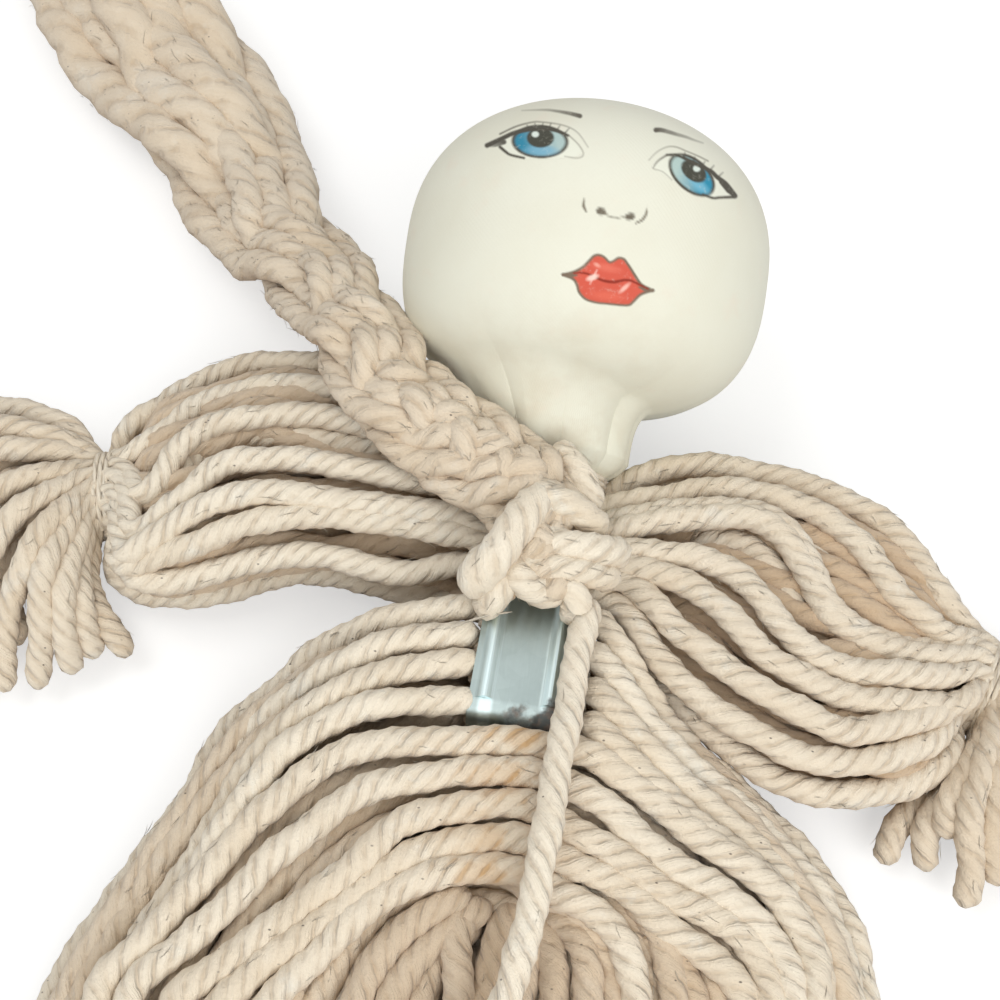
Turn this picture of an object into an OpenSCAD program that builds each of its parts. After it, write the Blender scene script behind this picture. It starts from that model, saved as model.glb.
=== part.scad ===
// Yarn doll lying on its back. A folded steel clip holds the mop yarn of the arms and the skirt,
// a stuffed cloth head sits in the mouth of the clip, and a plait of three strands starts on its front.
// +Y points to the crown, +Z to the front of the doll, and z = 0 is the surface that the doll lies on.

/* [Steel clip] */
// Width of the sheet strip
clip_w = 15; // [12:0.5:18]
// Length of the clip along the body
clip_len = 45; // [37:1:54]
// Depth of the folded clip from its back face to its front face
clip_depth = 26; // [22:0.5:31]
// Thickness of the sheet
clip_t = 0.8; // [0.6:0.1:1.2]
// Outside radius of the two folds
clip_fold_r = 3; // [2:0.5:5]
// Height of the two pressed ribs above the front panel
rib_h = 0.9; // [0.4:0.1:1.4]
// Width of each pressed rib
rib_w = 3.2; // [2:0.2:4]

/* [Yarn] */
// Diameter of one mop yarn
yarn_d = 4.8; // [4:0.1:5.6]
// Clearance between neighbouring pieces of yarn
yarn_gap = 0.4; // [0.3:0.05:0.8]
// Depth of the furrows between the yarns of a bundle
furrow = 1; // [0.2:0.1:1.4]

/* [Arms and hands] */
// Length of an arm from the clip to the wrist
arm_len = 72; // [60:1:87]
// Width of an arm where it swells
arm_w = 54; // [45:1:60]
// Thickness of an arm where it swells
arm_h = 27; // [23:0.5:32]
// Width of the yarn under the wrist tie
wrist_w = 20; // [16:0.5:24]
// Thickness of the yarn under the wrist tie
wrist_h = 14; // [11:0.5:17]
// Width of the wrist tie along the arm
tie_w = 3; // [2:0.2:4]
// Length of a hand tassel from the wrist tie to its tips
hand_len = 40; // [33:1:48]

/* [Skirt] */
// Length of the skirt from the fold of the clip to the hem
skirt_len = 129; // [108:1:155]
// Width of the skirt at the hem
skirt_w = 140; // [116:2:168]
// Thickness of the skirt at the hem
hem_h = 18; // [14:0.5:22]

/* [Head and neck] */
// Largest radius of the stuffed head
head_r = 33; // [27:0.5:36]
// Height of the crown above the widest part of the head
crown_h = 27; // [22:0.5:33]
// Height of the widest part of the head above the neck end
cheek_h = 33; // [27:0.5:39]
// Squareness of the head's outline, where 2 is an ellipse
head_square = 2.3; // [2:0.1:2.8]
// Angle by which the crown is raised from lying flat
head_pitch = 23; // [15:1:28]
// Radius of the neck where it meets the head
neck_r = 13; // [10:0.5:15]
// Radius of the gathered end of the neck in the mouth of the clip
throat_r = 8; // [6.5:0.25:9.5]
// Length of the neck along the body, from the clip to the head
neck_len = 13; // [11:0.5:18]
// Number of pleats round the neck
neck_pleats = 12; // [8:1:16]
// Thickness of the head's cloth
cloth_t = 0.8; // [0.5:0.1:1.2]
// Diameter of the thread that gathers the neck
thread_d = 1.4; // [1:0.1:1.8]

/* [Plait] */
// Diameter of each strand at the clip
strand_d = 4.6; // [4:0.2:4.8]
// How much larger the plait is at its loose end
plait_growth = 1.85; // [1:0.05:2]
// Number of full turns that each strand weaves through
plait_turns = 3.5; // [2:0.25:3.75]
// Clearance between the strands where they cross
strand_gap = 0.7; // [0.6:0.1:1]
// Length of the tassel past the end tie
tassel_len = 20; // [14:1:30]

/* [Hidden] */

yarn_color = [0.91, 0.87, 0.79];
shade_color = [0.80, 0.73, 0.63];
cloth_color = [0.94, 0.94, 0.89];
steel_color = [0.66, 0.71, 0.72];
thread_color = [0.86, 0.82, 0.72];

// Places along the body: the fold, the mouth and the sides of the clip
fold_y = -21;
mouth_y = fold_y + clip_len;
root_x = clip_w / 2 + 2 * yarn_gap;
root_low = clip_t + yarn_gap;
root_top = clip_depth - clip_t - yarn_gap;
// Where the yarn of the arms ends on the clip and the yarn of the skirt begins
part_y = fold_y + clip_len / 2;

// Elbow folds, as shares of the arm's length: the right one lies just past the plait
right_elbow = 0.58;
left_elbow = 0.50;
// Right arm: shares of arm_len and arm_w for its upper edge, then its lower edge, then of arm_h for its top
right_upper_shape = [
    [0.16, 0.41, 0.16, -0.15, 0.91],
    [0.36, 0.63, 0.36, -0.11, 0.95],
    [right_elbow, 0.73, right_elbow, -0.19, 1.00]
];
right_lower_shape = [
    [0.74, 0.68, 0.74, -0.29, 0.99],
    [0.91, 0.57, 0.87, -0.27, 0.90]
];
// Left arm in the same form: it slants towards the hem
left_upper_shape = [
    [0.12, 0.38, 0.10, -0.25, 0.91],
    [0.28, 0.55, 0.29, -0.40, 0.96],
    [left_elbow, 0.54, left_elbow, -0.61, 1.00]
];
left_lower_shape = [
    [0.65, 0.45, 0.67, -0.64, 0.98],
    [0.82, 0.28, 0.79, -0.57, 0.88]
];
// Middle of each wrist: share of arm_len along X, share of arm_w along Y, and the angle of the tie from Y
right_wrist = [1.01, 0.10, 15];
left_wrist = [0.95, -0.16, 22];
// Hands: outer edge, then inner edge, in shares of hand_len from the wrist, then the top as a share of arm_h
right_hand_shape = [
    [0.30, 0.42, 0.10, -0.42, 0.74],
    [0.60, 0.22, 0.10, -0.55, 0.84],
    [0.66, -0.30, 0.06, -0.63, 0.78],
    [0.46, -0.84, -0.26, -0.84, 0.62]
];
left_hand_shape = [
    [0.28, 0.32, 0.05, -0.42, 0.74],
    [0.52, 0.10, 0.00, -0.52, 0.84],
    [0.50, -0.42, -0.08, -0.62, 0.78],
    [0.26, -0.84, -0.44, -0.78, 0.62]
];

// Seams of the skirt on one side: shares of half the hem width, then shares of skirt_len below the fold.
// The outer seam lies between a side lock and the waist loop.
outer_seam = [
    [0.165, 0.008], [0.31, 0.03], [0.47, 0.085], [0.62, 0.18], [0.74, 0.33], [0.80, 0.61], [0.835, 1]
];
// The inner seam lies between the loop and the middle lock.
inner_seam = [
    [0.07, 0.212], [0.13, 0.232], [0.18, 0.27], [0.21, 0.34], [0.225, 0.46], [0.235, 0.68], [0.245, 1]
];
// Upper and lower edge of the rows across the middle line
waist_rows = [0.012, 0.205];
// Outer edges of the side locks in the same form, where a share above the fold is negative and of clip_len
right_lock_edge = [
    [0.29, -0.52], [0.47, -0.37], [0.66, 0], [0.79, 0.17], [0.90, 0.36], [0.97, 0.61], [1, 1]
];
left_lock_edge = [
    [0.24, -0.40], [0.43, -0.19], [0.64, 0.035], [0.78, 0.15], [0.87, 0.34], [0.94, 0.61], [1, 1]
];
// Tops of the locks as shares from the hem to the waist
lock_top = [1, 0.92, 0.84, 0.68, 0.50, 0.30, 0];
loop_top = [1.20, 1.12, 0.95, 0.70, 0.50, 0.26, 0];
middle_top = [-0.6, 0.10, 0.40, 0.38, 0.30, 0.15, -0.05];
// Yarns that show side by side on top of an arm, a hand, a skirt lock, the waist loop and the middle lock
arm_yarns = 10;
hand_yarns = 7;
lock_yarns = 9;
loop_yarns = 6;
middle_yarns = 5;

// Route of the loose yarn that hangs down the front of the skirt
loose_route = [
    [12, -2, 27.4], [11, -8, 27.8], [10, -14, 28.3], [9.3, -21, 29.1], [8.8, -28, 29.6], [8.5, -35, 29.6],
    [8.1, -43, 29.3], [7.2, -51, 28], [6.2, -59, 26.2], [5, -68, 24.8], [3.6, -78, 24], [2.2, -89, 23.4],
    [0.8, -100, 22.9], [-0.6, -113, 22.3], [-2.2, -126, 21.8], [-4, -140, 21.3]
];
// Route of the middle of the plait, from the front of the clip over the right shoulder to the surface
plait_route = [
    [0.5, 1, 32.5], [-0.4, 9, 33.6], [-3.5, 16, 34.2], [-11, 20.5, 34.6], [-20, 25, 35], [-30.9, 31.2, 35],
    [-39.5, 41.7, 33.8], [-46.2, 54, 29.5], [-53.5, 66.5, 23], [-62.5, 79, 17.5], [-74, 93, 13.5],
    [-87, 110, 11.5], [-100, 126, 11], [-114, 142, 11], [-129, 159, 11], [-143, 175, 11]
];

// Curves and rings
function unit(v) = v / norm(v);
function row(list, i) = list[max(0, min(len(list) - 1, i))];
function cubic(a, b, c, d, t) =
    (2 * b + (c - a) * t + (2 * a - 5 * b + 4 * c - d) * t * t + (3 * b - a - 3 * c + d) * t * t * t) / 2;
function on_curve(list, at) =
    let (i = min(floor(at), len(list) - 2))
    cubic(row(list, i - 1), list[i], list[i + 1], row(list, i + 2), at - i);
function smooth(list, steps) =
    [for (i = [0 : (len(list) - 1) * steps]) on_curve(list, i / steps)];
function reversed(list) = [for (i = [len(list) - 1 : -1 : 0]) list[i]];
function total(list, i = 0) = i == len(list) - 1 ? list[i] : list[i] + total(list, i + 1);
function middle(ring) = total(ring) / len(ring);
function tangent(path, i) = unit(row(path, i + 1) - row(path, i - 1));
function round_share(x, power) = sign(x) * pow(abs(x), power);

// True where the rings turn clockwise along the direction in which they follow each other
function turns_back(rings) =
    let (c = middle(rings[0]), n = len(rings[0]))
    total([for (i = [0 : n - 1]) cross(rings[0][i] - c, rings[0][(i + 1) % n] - c)])
        * (middle(rings[1]) - c) < 0;

function wall_faces(rings, last) =
    let (n = len(rings[0]), m = len(rings))
    [for (j = [0 : last], i = [0 : n - 1])
        let (a = j * n + i, b = j * n + (i + 1) % n, c = ((j + 1) % m) * n)
        each [[a, c + i, b], [b, c + i, c + (i + 1) % n]]];

// Closed solid through rings with equal numbers of points
module loft(rings) {
    n = len(rings[0]);
    m = len(rings);
    points = [for (r = rings) each r, middle(rings[0]), middle(rings[m - 1])];
    caps = [for (i = [0 : n - 1])
        each [[m * n, i, (i + 1) % n], [m * n + 1, (m - 1) * n + (i + 1) % n, (m - 1) * n + i]]];
    faces = concat(wall_faces(rings, m - 2), caps);
    polyhedron(points, turns_back(rings) ? [for (f = faces) reversed(f)] : faces);
}

// Closed loop through rings, where the last ring joins the first
module loop_loft(rings) {
    faces = wall_faces(rings, len(rings) - 1);
    polyhedron([for (r = rings) each r], turns_back(rings) ? [for (f = faces) reversed(f)] : faces);
}

// Round ring about a point, square to a direction
function tube_ring(center, along, r, sides) =
    let (s = unit(cross(along, [0, 0, 1])), n = cross(s, along))
    [for (i = [0 : sides - 1]) center + r * (s * cos(360 * i / sides) + n * sin(360 * i / sides))];

// Ring of a yarn bundle between two edges: furrowed on top and flat where it lies down.
// Each roundness is a power, where 1 is an ellipse and less is squarer.
bundle_round = 0.8;
under_round = 0.6;
function bundle_ring(v, yarns) =
    let (
        mid = [v[0] + v[2], v[1] + v[3]] / 2,
        half = [v[0] - v[2], v[1] - v[3]] / 2,
        rise = (v[5] - v[4]) / 2,
        dip = 1 - furrow / max(2 * furrow, min(rise, norm(half))),
        tops = 2 * yarns,
        unders = 6
    )
    [for (i = [0 : tops + unders])
        let (
            q = i <= tops ? 180 * i / tops : 180 + 180 * (i - tops) / (unders + 1),
            k = i < tops && i > 0 && i % 2 == 0 ? dip : 1,
            across = round_share(cos(q), bundle_round) * k,
            up = round_share(sin(q), i <= tops ? bundle_round : under_round) * k
        )
        [mid[0] + half[0] * across, mid[1] + half[1] * across, v[4] + rise * (1 + up)]];
module bundle(stations, steps, yarns) {
    loft([for (v = smooth(stations, steps)) bundle_ring(v, yarns)]);
}

// Steel clip: a strip folded twice, with two ribs pressed into its front leg
rib_x = clip_w / 2 - rib_w / 2 - 0.8;
function rib_rise(x) =
    let (d = abs(abs(x) - rib_x) / (rib_w / 2))
    d < 1 ? rib_h * (1 + cos(180 * d)) / 2 : 0;
rib_xs = [for (i = [-24 : 24]) clip_w / 2 * i / 24];
module strip_section() {
    polygon(concat(
        [for (x = rib_xs) [x, rib_rise(x)]],
        [for (x = reversed(rib_xs)) [x, rib_rise(x) - clip_t]]
    ));
}
module flat_section() {
    translate([-clip_w / 2, -clip_t]) square([clip_w, clip_t]);
}
module fold_corner() {
    rotate([90, 0, 90])
        linear_extrude(clip_w, center = true)
            intersection() {
                difference() {
                    circle(clip_fold_r, $fn = 64);
                    circle(clip_fold_r - clip_t, $fn = 64);
                }
                translate([-clip_fold_r, -clip_fold_r]) square(clip_fold_r);
            }
}
module steel_clip() {
    leg = clip_len - clip_fold_r;
    color(steel_color) {
        translate([0, mouth_y, clip_depth]) rotate([90, 0, 0]) linear_extrude(leg) strip_section();
        translate([0, mouth_y, clip_t]) rotate([90, 0, 0]) linear_extrude(leg) flat_section();
        translate([0, fold_y + clip_fold_r, clip_fold_r]) fold_corner();
        translate([0, fold_y + clip_fold_r, clip_depth - clip_fold_r]) mirror([0, 0, 1]) fold_corner();
        translate([-clip_w / 2, fold_y, clip_fold_r]) cube([clip_w, clip_t, clip_depth - 2 * clip_fold_r]);
    }
}

// Yarn that the clip holds between its legs
module chest_yarn() {
    low = fold_y + clip_t + yarn_gap;
    high = mouth_y - yarn_gap;
    r = clip_fold_r;
    color(shade_color)
        rotate([90, 0, 90])
            linear_extrude(clip_w, center = true)
                difference() {
                    translate([low, root_low]) square([high - low, root_top - root_low]);
                    for (at = [root_low, root_top - r])
                        translate([low, at])
                            difference() {
                                square(r);
                                translate([r, at == root_low ? r : 0]) circle(r, $fn = 64);
                            }
                }
}

// Arms: side is -1 for the right arm and 1 for the left arm
arm_y = part_y + clip_len / 4;
arm_root_low = part_y + yarn_gap / 2;
function arm_station(side, v, lift = 0) = [
    side * (root_x + v[0] * arm_len), arm_y + v[1] * arm_w,
    side * (root_x + v[2] * arm_len), arm_y + v[3] * arm_w,
    lift, v[4] * arm_h
];
function arm_root(side) =
    [side * root_x, mouth_y - 4 * yarn_gap, side * root_x, arm_root_low, root_low, root_top];
// Wrist: middle of the tie, direction out of the arm, and direction along the tie towards its upper edge
function wrist_mid(side, w) = [side * (root_x + w[0] * arm_len), arm_y + w[1] * arm_w];
function wrist_out(side, w) = [side * cos(w[2]), -sin(w[2])];
function wrist_up(side, w) = [side * sin(w[2]), cos(w[2])];
wrist_low = 2.2;
wrist_top = wrist_low + wrist_h;
function wrist_station(side, w, at, width, low, top) =
    let (
        mid = wrist_mid(side, w) + at * wrist_out(side, w),
        up = wrist_up(side, w) * width / 2
    )
    [mid[0] + up[0], mid[1] + up[1], mid[0] - up[0], mid[1] - up[1], low, top];
tie_r = tie_w / 2;
tie_thick = tie_r / 2;
// How much wider the arm is just before the tie
wrist_flare = 4;
module upper_arm(side, shape) {
    bundle(concat([arm_root(side)], [for (v = shape) arm_station(side, v)]), 3, arm_yarns);
}
module forearm(side, shape, elbow, w) {
    from = arm_station(side, elbow) + side * [yarn_gap, 0, yarn_gap, 0, 0, 0];
    bundle(concat(
        [from],
        [for (v = shape) arm_station(side, v)],
        [
            wrist_station(side, w, -tie_w, wrist_w + wrist_flare, wrist_low / 2, wrist_top + wrist_flare / 2),
            wrist_station(side, w, 0, wrist_w, wrist_low, wrist_top),
            wrist_station(side, w, tie_w, wrist_w, wrist_low, wrist_top)
        ]
    ), 3, arm_yarns);
}
module wrist_tie(side, w) {
    mid = wrist_mid(side, w) + (tie_r + yarn_gap / 2) * wrist_out(side, w);
    up = wrist_up(side, w);
    wide = wrist_w / 2 + yarn_gap + tie_thick;
    high = wrist_h / 2 + yarn_gap + tie_thick;
    out = wrist_out(side, w);
    loop_loft([for (i = [0 : 31])
        let (
            q = 360 * i / 32,
            ca = round_share(cos(q), bundle_round),
            sa = round_share(sin(q), bundle_round),
            spoke = unit([up[0] * ca * high, up[1] * ca * high, sa * wide]),
            at = [mid[0] + up[0] * ca * wide, mid[1] + up[1] * ca * wide, wrist_low + wrist_h / 2 + sa * high]
        )
        [for (j = [0 : 7])
            at + tie_thick * cos(45 * j) * spoke + tie_r * 0.9 * sin(45 * j) * [out[0], out[1], 0]]]);
}
module hand_tassel(side, w, shape) {
    mid = wrist_mid(side, w) + (tie_w + yarn_gap) * wrist_out(side, w);
    bundle(concat(
        [wrist_station(side, w, tie_w + yarn_gap, wrist_w, wrist_low, wrist_top)],
        [for (v = shape) [
            mid[0] + side * v[0] * hand_len, mid[1] + v[1] * hand_len,
            mid[0] + side * v[2] * hand_len, mid[1] + v[3] * hand_len,
            0, v[4] * arm_h
        ]]
    ), 3, hand_yarns);
}
module right_upper_arm() { color(yarn_color) upper_arm(-1, right_upper_shape); }
module right_forearm() {
    color(yarn_color) forearm(-1, right_lower_shape, right_upper_shape[2], right_wrist);
}
module right_wrist_tie() { color(thread_color) wrist_tie(-1, right_wrist); }
module right_hand_tassel() { color(yarn_color) hand_tassel(-1, right_wrist, right_hand_shape); }
module left_upper_arm() { color(yarn_color) upper_arm(1, left_upper_shape); }
module left_forearm() {
    color(yarn_color) forearm(1, left_lower_shape, left_upper_shape[2], left_wrist);
}
module left_wrist_tie() { color(thread_color) wrist_tie(1, left_wrist); }
module left_hand_tassel() { color(yarn_color) hand_tassel(1, left_wrist, left_hand_shape); }

// Skirt
function skirt_top(share) = hem_h + share * (root_top - hem_h);
function skirt_x(share) = share * skirt_w / 2;
function skirt_y(share) = fold_y - share * (share < 0 ? clip_len : skirt_len);
function skirt_station(side, outer, inner, inset, top) = [
    side * (skirt_x(outer[0]) - inset[0]), skirt_y(outer[1]) - inset[0],
    side * (skirt_x(inner[0]) + inset[1]), skirt_y(inner[1]) + inset[1],
    0, skirt_top(top)
];
function lock_root(side) =
    [side * root_x, part_y - yarn_gap / 2, side * root_x, fold_y + yarn_gap, root_low, root_top];
rows = [0 : len(outer_seam) - 1];
// Lower edge of an arm as pairs of distance from the middle line and place along Y
function arm_floor(side, shape, w) =
    let (
        wrist = wrist_station(side, w, -tie_w, wrist_w + wrist_flare, 0, 0),
        edge = concat([arm_root(side)], [for (v = shape) arm_station(side, v)], [wrist])
    )
    [for (v = edge) [abs(v[2]), v[3]]];
// A lock runs from the side of the clip to the hem and stays under the lower edge of its arm
module lock(side, edge, floor_line) {
    stations = [for (i = rows)
        let (
            v = skirt_station(side, edge[i], outer_seam[i], [0, yarn_gap], lock_top[i]),
            under_arm = lookup(abs(v[0]), floor_line) - 4 * yarn_gap
        )
        [v[0], min(v[1], under_arm), v[2], v[3], v[4], v[5]]];
    color(yarn_color) bundle(concat([lock_root(side)], stations), 2, lock_yarns);
}
module skirt_right_lock() {
    lock(-1, right_lock_edge, arm_floor(-1, concat(right_upper_shape, right_lower_shape), right_wrist));
}
module skirt_left_lock() {
    lock(1, left_lock_edge, arm_floor(1, concat(left_upper_shape, left_lower_shape), left_wrist));
}
function loop_side(side) =
    [for (i = rows) skirt_station(side, outer_seam[i], inner_seam[i], [yarn_gap, yarn_gap], loop_top[i])];
module waist_loop() {
    top = skirt_station(1, [0, waist_rows[0]], [0, waist_rows[1]], [0, 0], loop_top[0]);
    color(yarn_color) bundle(concat(reversed(loop_side(-1)), [top], loop_side(1)), 2, loop_yarns);
}
module skirt_center_lock() {
    color(yarn_color)
        bundle([for (i = rows) [
            -skirt_x(inner_seam[i][0]) + yarn_gap, skirt_y(inner_seam[i][1]) - 2 * yarn_gap,
            skirt_x(inner_seam[i][0]) - yarn_gap, skirt_y(inner_seam[i][1]) - 2 * yarn_gap,
            0, skirt_top(middle_top[i])
        ]], 2, middle_yarns);
}
module loose_strand() {
    path = smooth(loose_route, 2);
    color(yarn_color)
        loft([for (i = [0 : len(path) - 1]) tube_ring(path[i], tangent(path, i), yarn_d / 2, 8)]);
}

// Head: a closed outline from the neck end to the crown, drawn in by an inset
open_h = -cheek_h * pow(1 - pow(neck_r / head_r, head_square), 1 / head_square);
open_angle = acos(pow(neck_r / head_r, head_square / 2));
function head_point(q, inset) = [
    max(0, (head_r - inset) * pow(max(0, cos(q)), 2 / head_square)),
    ((q > 0 ? crown_h : cheek_h) - inset) * round_share(sin(q), 2 / head_square)
];
module head_outline(inset) {
    polygon(concat(
        [[0, head_point(-open_angle, inset)[1]]],
        [for (i = [-12 : 0]) head_point(open_angle * i / 12, inset)],
        [for (i = [1 : 12]) head_point(90 * i / 12, inset)]
    ));
}
// Height of the head's middle at which the head just touches the surface
head_z = max([for (q = [-90 : 2 : 90])
    let (p = head_point(q, 0)) p[0] * cos(head_pitch) - p[1] * sin(head_pitch)]);
head_y = mouth_y + neck_len - open_h * cos(head_pitch);
module in_head() {
    translate([0, head_y, head_z]) rotate([head_pitch - 90, 0, 0]) children();
}
module head_cover() {
    color(cloth_color)
        in_head()
            difference() {
                rotate_extrude($fn = 96) head_outline(0);
                rotate_extrude($fn = 96) head_outline(cloth_t);
                translate([0, 0, -cheek_h - 1]) cylinder(r = neck_r - cloth_t, h = cheek_h / 2, $fn = 96);
            }
}
stuffing_gap = 0.3;
module head_stuffing() {
    color("white") in_head() rotate_extrude($fn = 96) head_outline(cloth_t + stuffing_gap);
}

// Neck: pleated cloth from the mouth of the clip to the head, drawn in under its thread
pleat = 0.1;
thread_at = 0.4;
throat_z = clip_depth / 2 + 1;
neck_end = [mouth_y + neck_len, head_z + open_h * sin(head_pitch)];
neck_slope = atan((neck_end[1] - throat_z) / neck_len);
function neck_at(s) = [
    0,
    mouth_y + yarn_gap + s * (neck_len - 2 * yarn_gap),
    throat_z + s * (neck_end[1] - throat_z)
];
function neck_ring(s, r, tilt, depth) =
    [for (i = [0 : 2 * neck_pleats - 1])
        let (q = 180 * i / neck_pleats, k = r * (i % 2 == 0 ? 1 : 1 - depth))
        neck_at(s) + k * [cos(q), -sin(q) * sin(tilt), sin(q) * cos(tilt)]];
module neck_gather() {
    color(cloth_color)
        loft([
            neck_ring(0, throat_r, 0, pleat),
            neck_ring(0.2, throat_r, neck_slope * 0.6, pleat),
            neck_ring(0.48, throat_r, neck_slope * 0.8, pleat),
            neck_ring(0.66, (throat_r + neck_r) / 2, head_pitch * 0.9, pleat),
            neck_ring(0.8, neck_r * 0.94, head_pitch, pleat * 0.8),
            neck_ring(1, neck_r, head_pitch, pleat / 2)
        ]);
}
module neck_thread() {
    r = throat_r + thread_d / 2 + yarn_gap / 2;
    color(thread_color)
        translate(neck_at(thread_at))
            rotate([neck_slope * 0.7 - 90, 0, 0])
                rotate_extrude($fn = 48) translate([r, 0]) circle(d = thread_d, $fn = 24);
}

// Plait: in a turn each strand swings sideways once and passes over and under twice,
// a third of a turn after the next strand
plait_rings = 66;
swing = 1.25 * (strand_d + strand_gap);
hop = 0.6 * (strand_d + strand_gap);
route_end = len(plait_route) - 1;
function growth(s) = 1 + (plait_growth - 1) * s * s;
function weave(q) = (sin(2 * q) + sin(4 * q) / 2) / (1.5 * sin(60));
function plait_mid(s) = on_curve(plait_route, s * route_end);
function plait_along(s) =
    unit(plait_mid(min(1, s + 0.01)) - plait_mid(max(0, s - 0.01)));
function plait_side(s) = unit(cross(plait_along(s), [0, 0, 1]));
function plait_top(s) = cross(plait_side(s), plait_along(s));
function strand_point(s, shift) =
    let (q = 360 * plait_turns * s + shift)
    plait_mid(s) + growth(s) * (plait_side(s) * swing * sin(q) + plait_top(s) * hop * weave(q));
module plait_strand(shift) {
    path = [for (i = [0 : plait_rings]) strand_point(i / plait_rings, shift)];
    color(yarn_color)
        loft([for (i = [0 : plait_rings])
            tube_ring(path[i], tangent(path, i), growth(i / plait_rings) * strand_d / 2, 8)]);
}
module plait_strand_a() { plait_strand(0); }
module plait_strand_b() { plait_strand(120); }
module plait_strand_c() { plait_strand(240); }
// Yarn across the front of the clip, from its right edge to the loose yarn, on which the plait starts
anchor_flat = 0.8;
module plait_anchor() {
    half = yarn_d / 2;
    y = plait_route[0][1] - half - 3 * yarn_gap;
    z = clip_depth + rib_h + yarn_gap + half * anchor_flat;
    ends = [-clip_w / 2 - yarn_gap, loose_route[0][0] - half - 2 * yarn_gap];
    path = [for (i = [0 : 12]) [ends[0] + (ends[1] - ends[0]) * i / 12, y, z]];
    color(yarn_color)
        loft([for (p = path) [for (j = [0 : 11])
            p + half * [0, cos(30 * j), anchor_flat * sin(30 * j)]]]);
}
// Tie and tassel at the loose end of the plait
end_along = plait_along(1);
end_side = plait_side(1);
end_top = plait_top(1);
function end_ring(at, wide, high, sides, lumps) =
    [for (i = [0 : sides - 1])
        let (q = 360 * i / sides, k = i % 2 == 0 ? 1 : 1 - lumps)
        plait_mid(1) + end_along * at + k * (end_side * wide * cos(q) + end_top * high * sin(q))];
end_start = plait_growth * strand_d * 0.45;
end_w = plait_growth * swing;
end_h = plait_growth * (hop + strand_d / 2) - 1;
module plait_end_tie() {
    color(thread_color)
        loft([for (a = [0 : 6])
            let (k = 0.86 + 0.08 * sin(30 * a))
            end_ring(end_start + a * tie_w / 3, end_w * k, end_h * k, 24, 0)]);
}
module plait_tassel() {
    start = end_start + yarn_gap + 2 * tie_w;
    shape = [[0, 0.84], [0.25, 0.95], [0.6, 1.0], [1, 0.92]];
    color(yarn_color)
        loft([for (v = shape)
            end_ring(start + v[0] * tassel_len, end_w * v[1] * 1.05, end_h * v[1], 24, 0.12)]);
}

steel_clip();
chest_yarn();
right_upper_arm();
right_forearm();
right_wrist_tie();
right_hand_tassel();
left_upper_arm();
left_forearm();
left_wrist_tie();
left_hand_tassel();
skirt_right_lock();
skirt_left_lock();
waist_loop();
skirt_center_lock();
loose_strand();
neck_gather();
neck_thread();
head_cover();
head_stuffing();
plait_anchor();
plait_strand_a();
plait_strand_b();
plait_strand_c();
plait_end_tie();
plait_tassel();
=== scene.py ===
"""Yarn doll lying on its back: mop yarn in a steel clip, a stuffed cloth head and a long plait.

Lengths are millimetres and become metres where a mesh is made; finishes and the frame's calls use metres. +Y
points to the crown, +Z out of the doll's front, and z = 0 is the surface that the doll lies on.
"""

import logging
import math
from dataclasses import dataclass, field
from enum import Enum
from typing import Any, Sequence

import bpy
import numpy as np
from mathutils import Matrix

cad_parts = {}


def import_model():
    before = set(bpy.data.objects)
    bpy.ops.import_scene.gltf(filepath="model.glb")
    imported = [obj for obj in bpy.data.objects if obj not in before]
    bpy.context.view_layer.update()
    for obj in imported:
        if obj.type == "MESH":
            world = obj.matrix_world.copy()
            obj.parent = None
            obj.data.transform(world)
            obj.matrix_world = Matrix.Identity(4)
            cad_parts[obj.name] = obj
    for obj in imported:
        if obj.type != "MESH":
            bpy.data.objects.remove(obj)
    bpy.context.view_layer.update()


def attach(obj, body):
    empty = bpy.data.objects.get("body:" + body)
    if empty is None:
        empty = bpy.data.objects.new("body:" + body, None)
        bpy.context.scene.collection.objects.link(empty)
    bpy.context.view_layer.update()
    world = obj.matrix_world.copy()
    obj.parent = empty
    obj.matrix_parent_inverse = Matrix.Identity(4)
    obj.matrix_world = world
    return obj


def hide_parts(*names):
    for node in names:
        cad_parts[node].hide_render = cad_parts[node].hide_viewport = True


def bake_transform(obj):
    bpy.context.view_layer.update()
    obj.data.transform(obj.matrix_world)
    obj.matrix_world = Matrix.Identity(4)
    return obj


LOG = logging.getLogger("yarn_doll")
MM = 0.001
SENSOR = 36.0
PICTURE = 1000
UP = (0.0, 0.0, 1.0)
NEARLY_UP = (0.0, 0.08, 1.0)
Array = np.ndarray
Piece = bpy.types.Object
Material = bpy.types.Material
Socket = bpy.types.NodeSocket
Pair = tuple[float, float]
Triple = tuple[float, float, float]
Colour = tuple[float, float, float, float]
Station = tuple[float, float, float, float, float, float]
Strand = Sequence[Sequence[float]]


class Side(Enum):
    """Side of the doll, with the sign of its X."""

    RIGHT = -1
    LEFT = 1


class Slot(Enum):
    """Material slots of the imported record."""

    YARN = "mop_yarn"
    CLOTH = "head_cloth"
    THREAD = "tie_thread"


def unit(v: Array) -> Array:
    """Give each vector on the last axis a length of one."""
    return v / np.maximum(np.linalg.norm(v, axis=-1, keepdims=True), 1e-9)


def signed_power(x: Array, power: float | Array) -> Array:
    """Raise the size of a number to a power and keep its sign."""
    return np.sign(x) * np.abs(x) ** power


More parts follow.
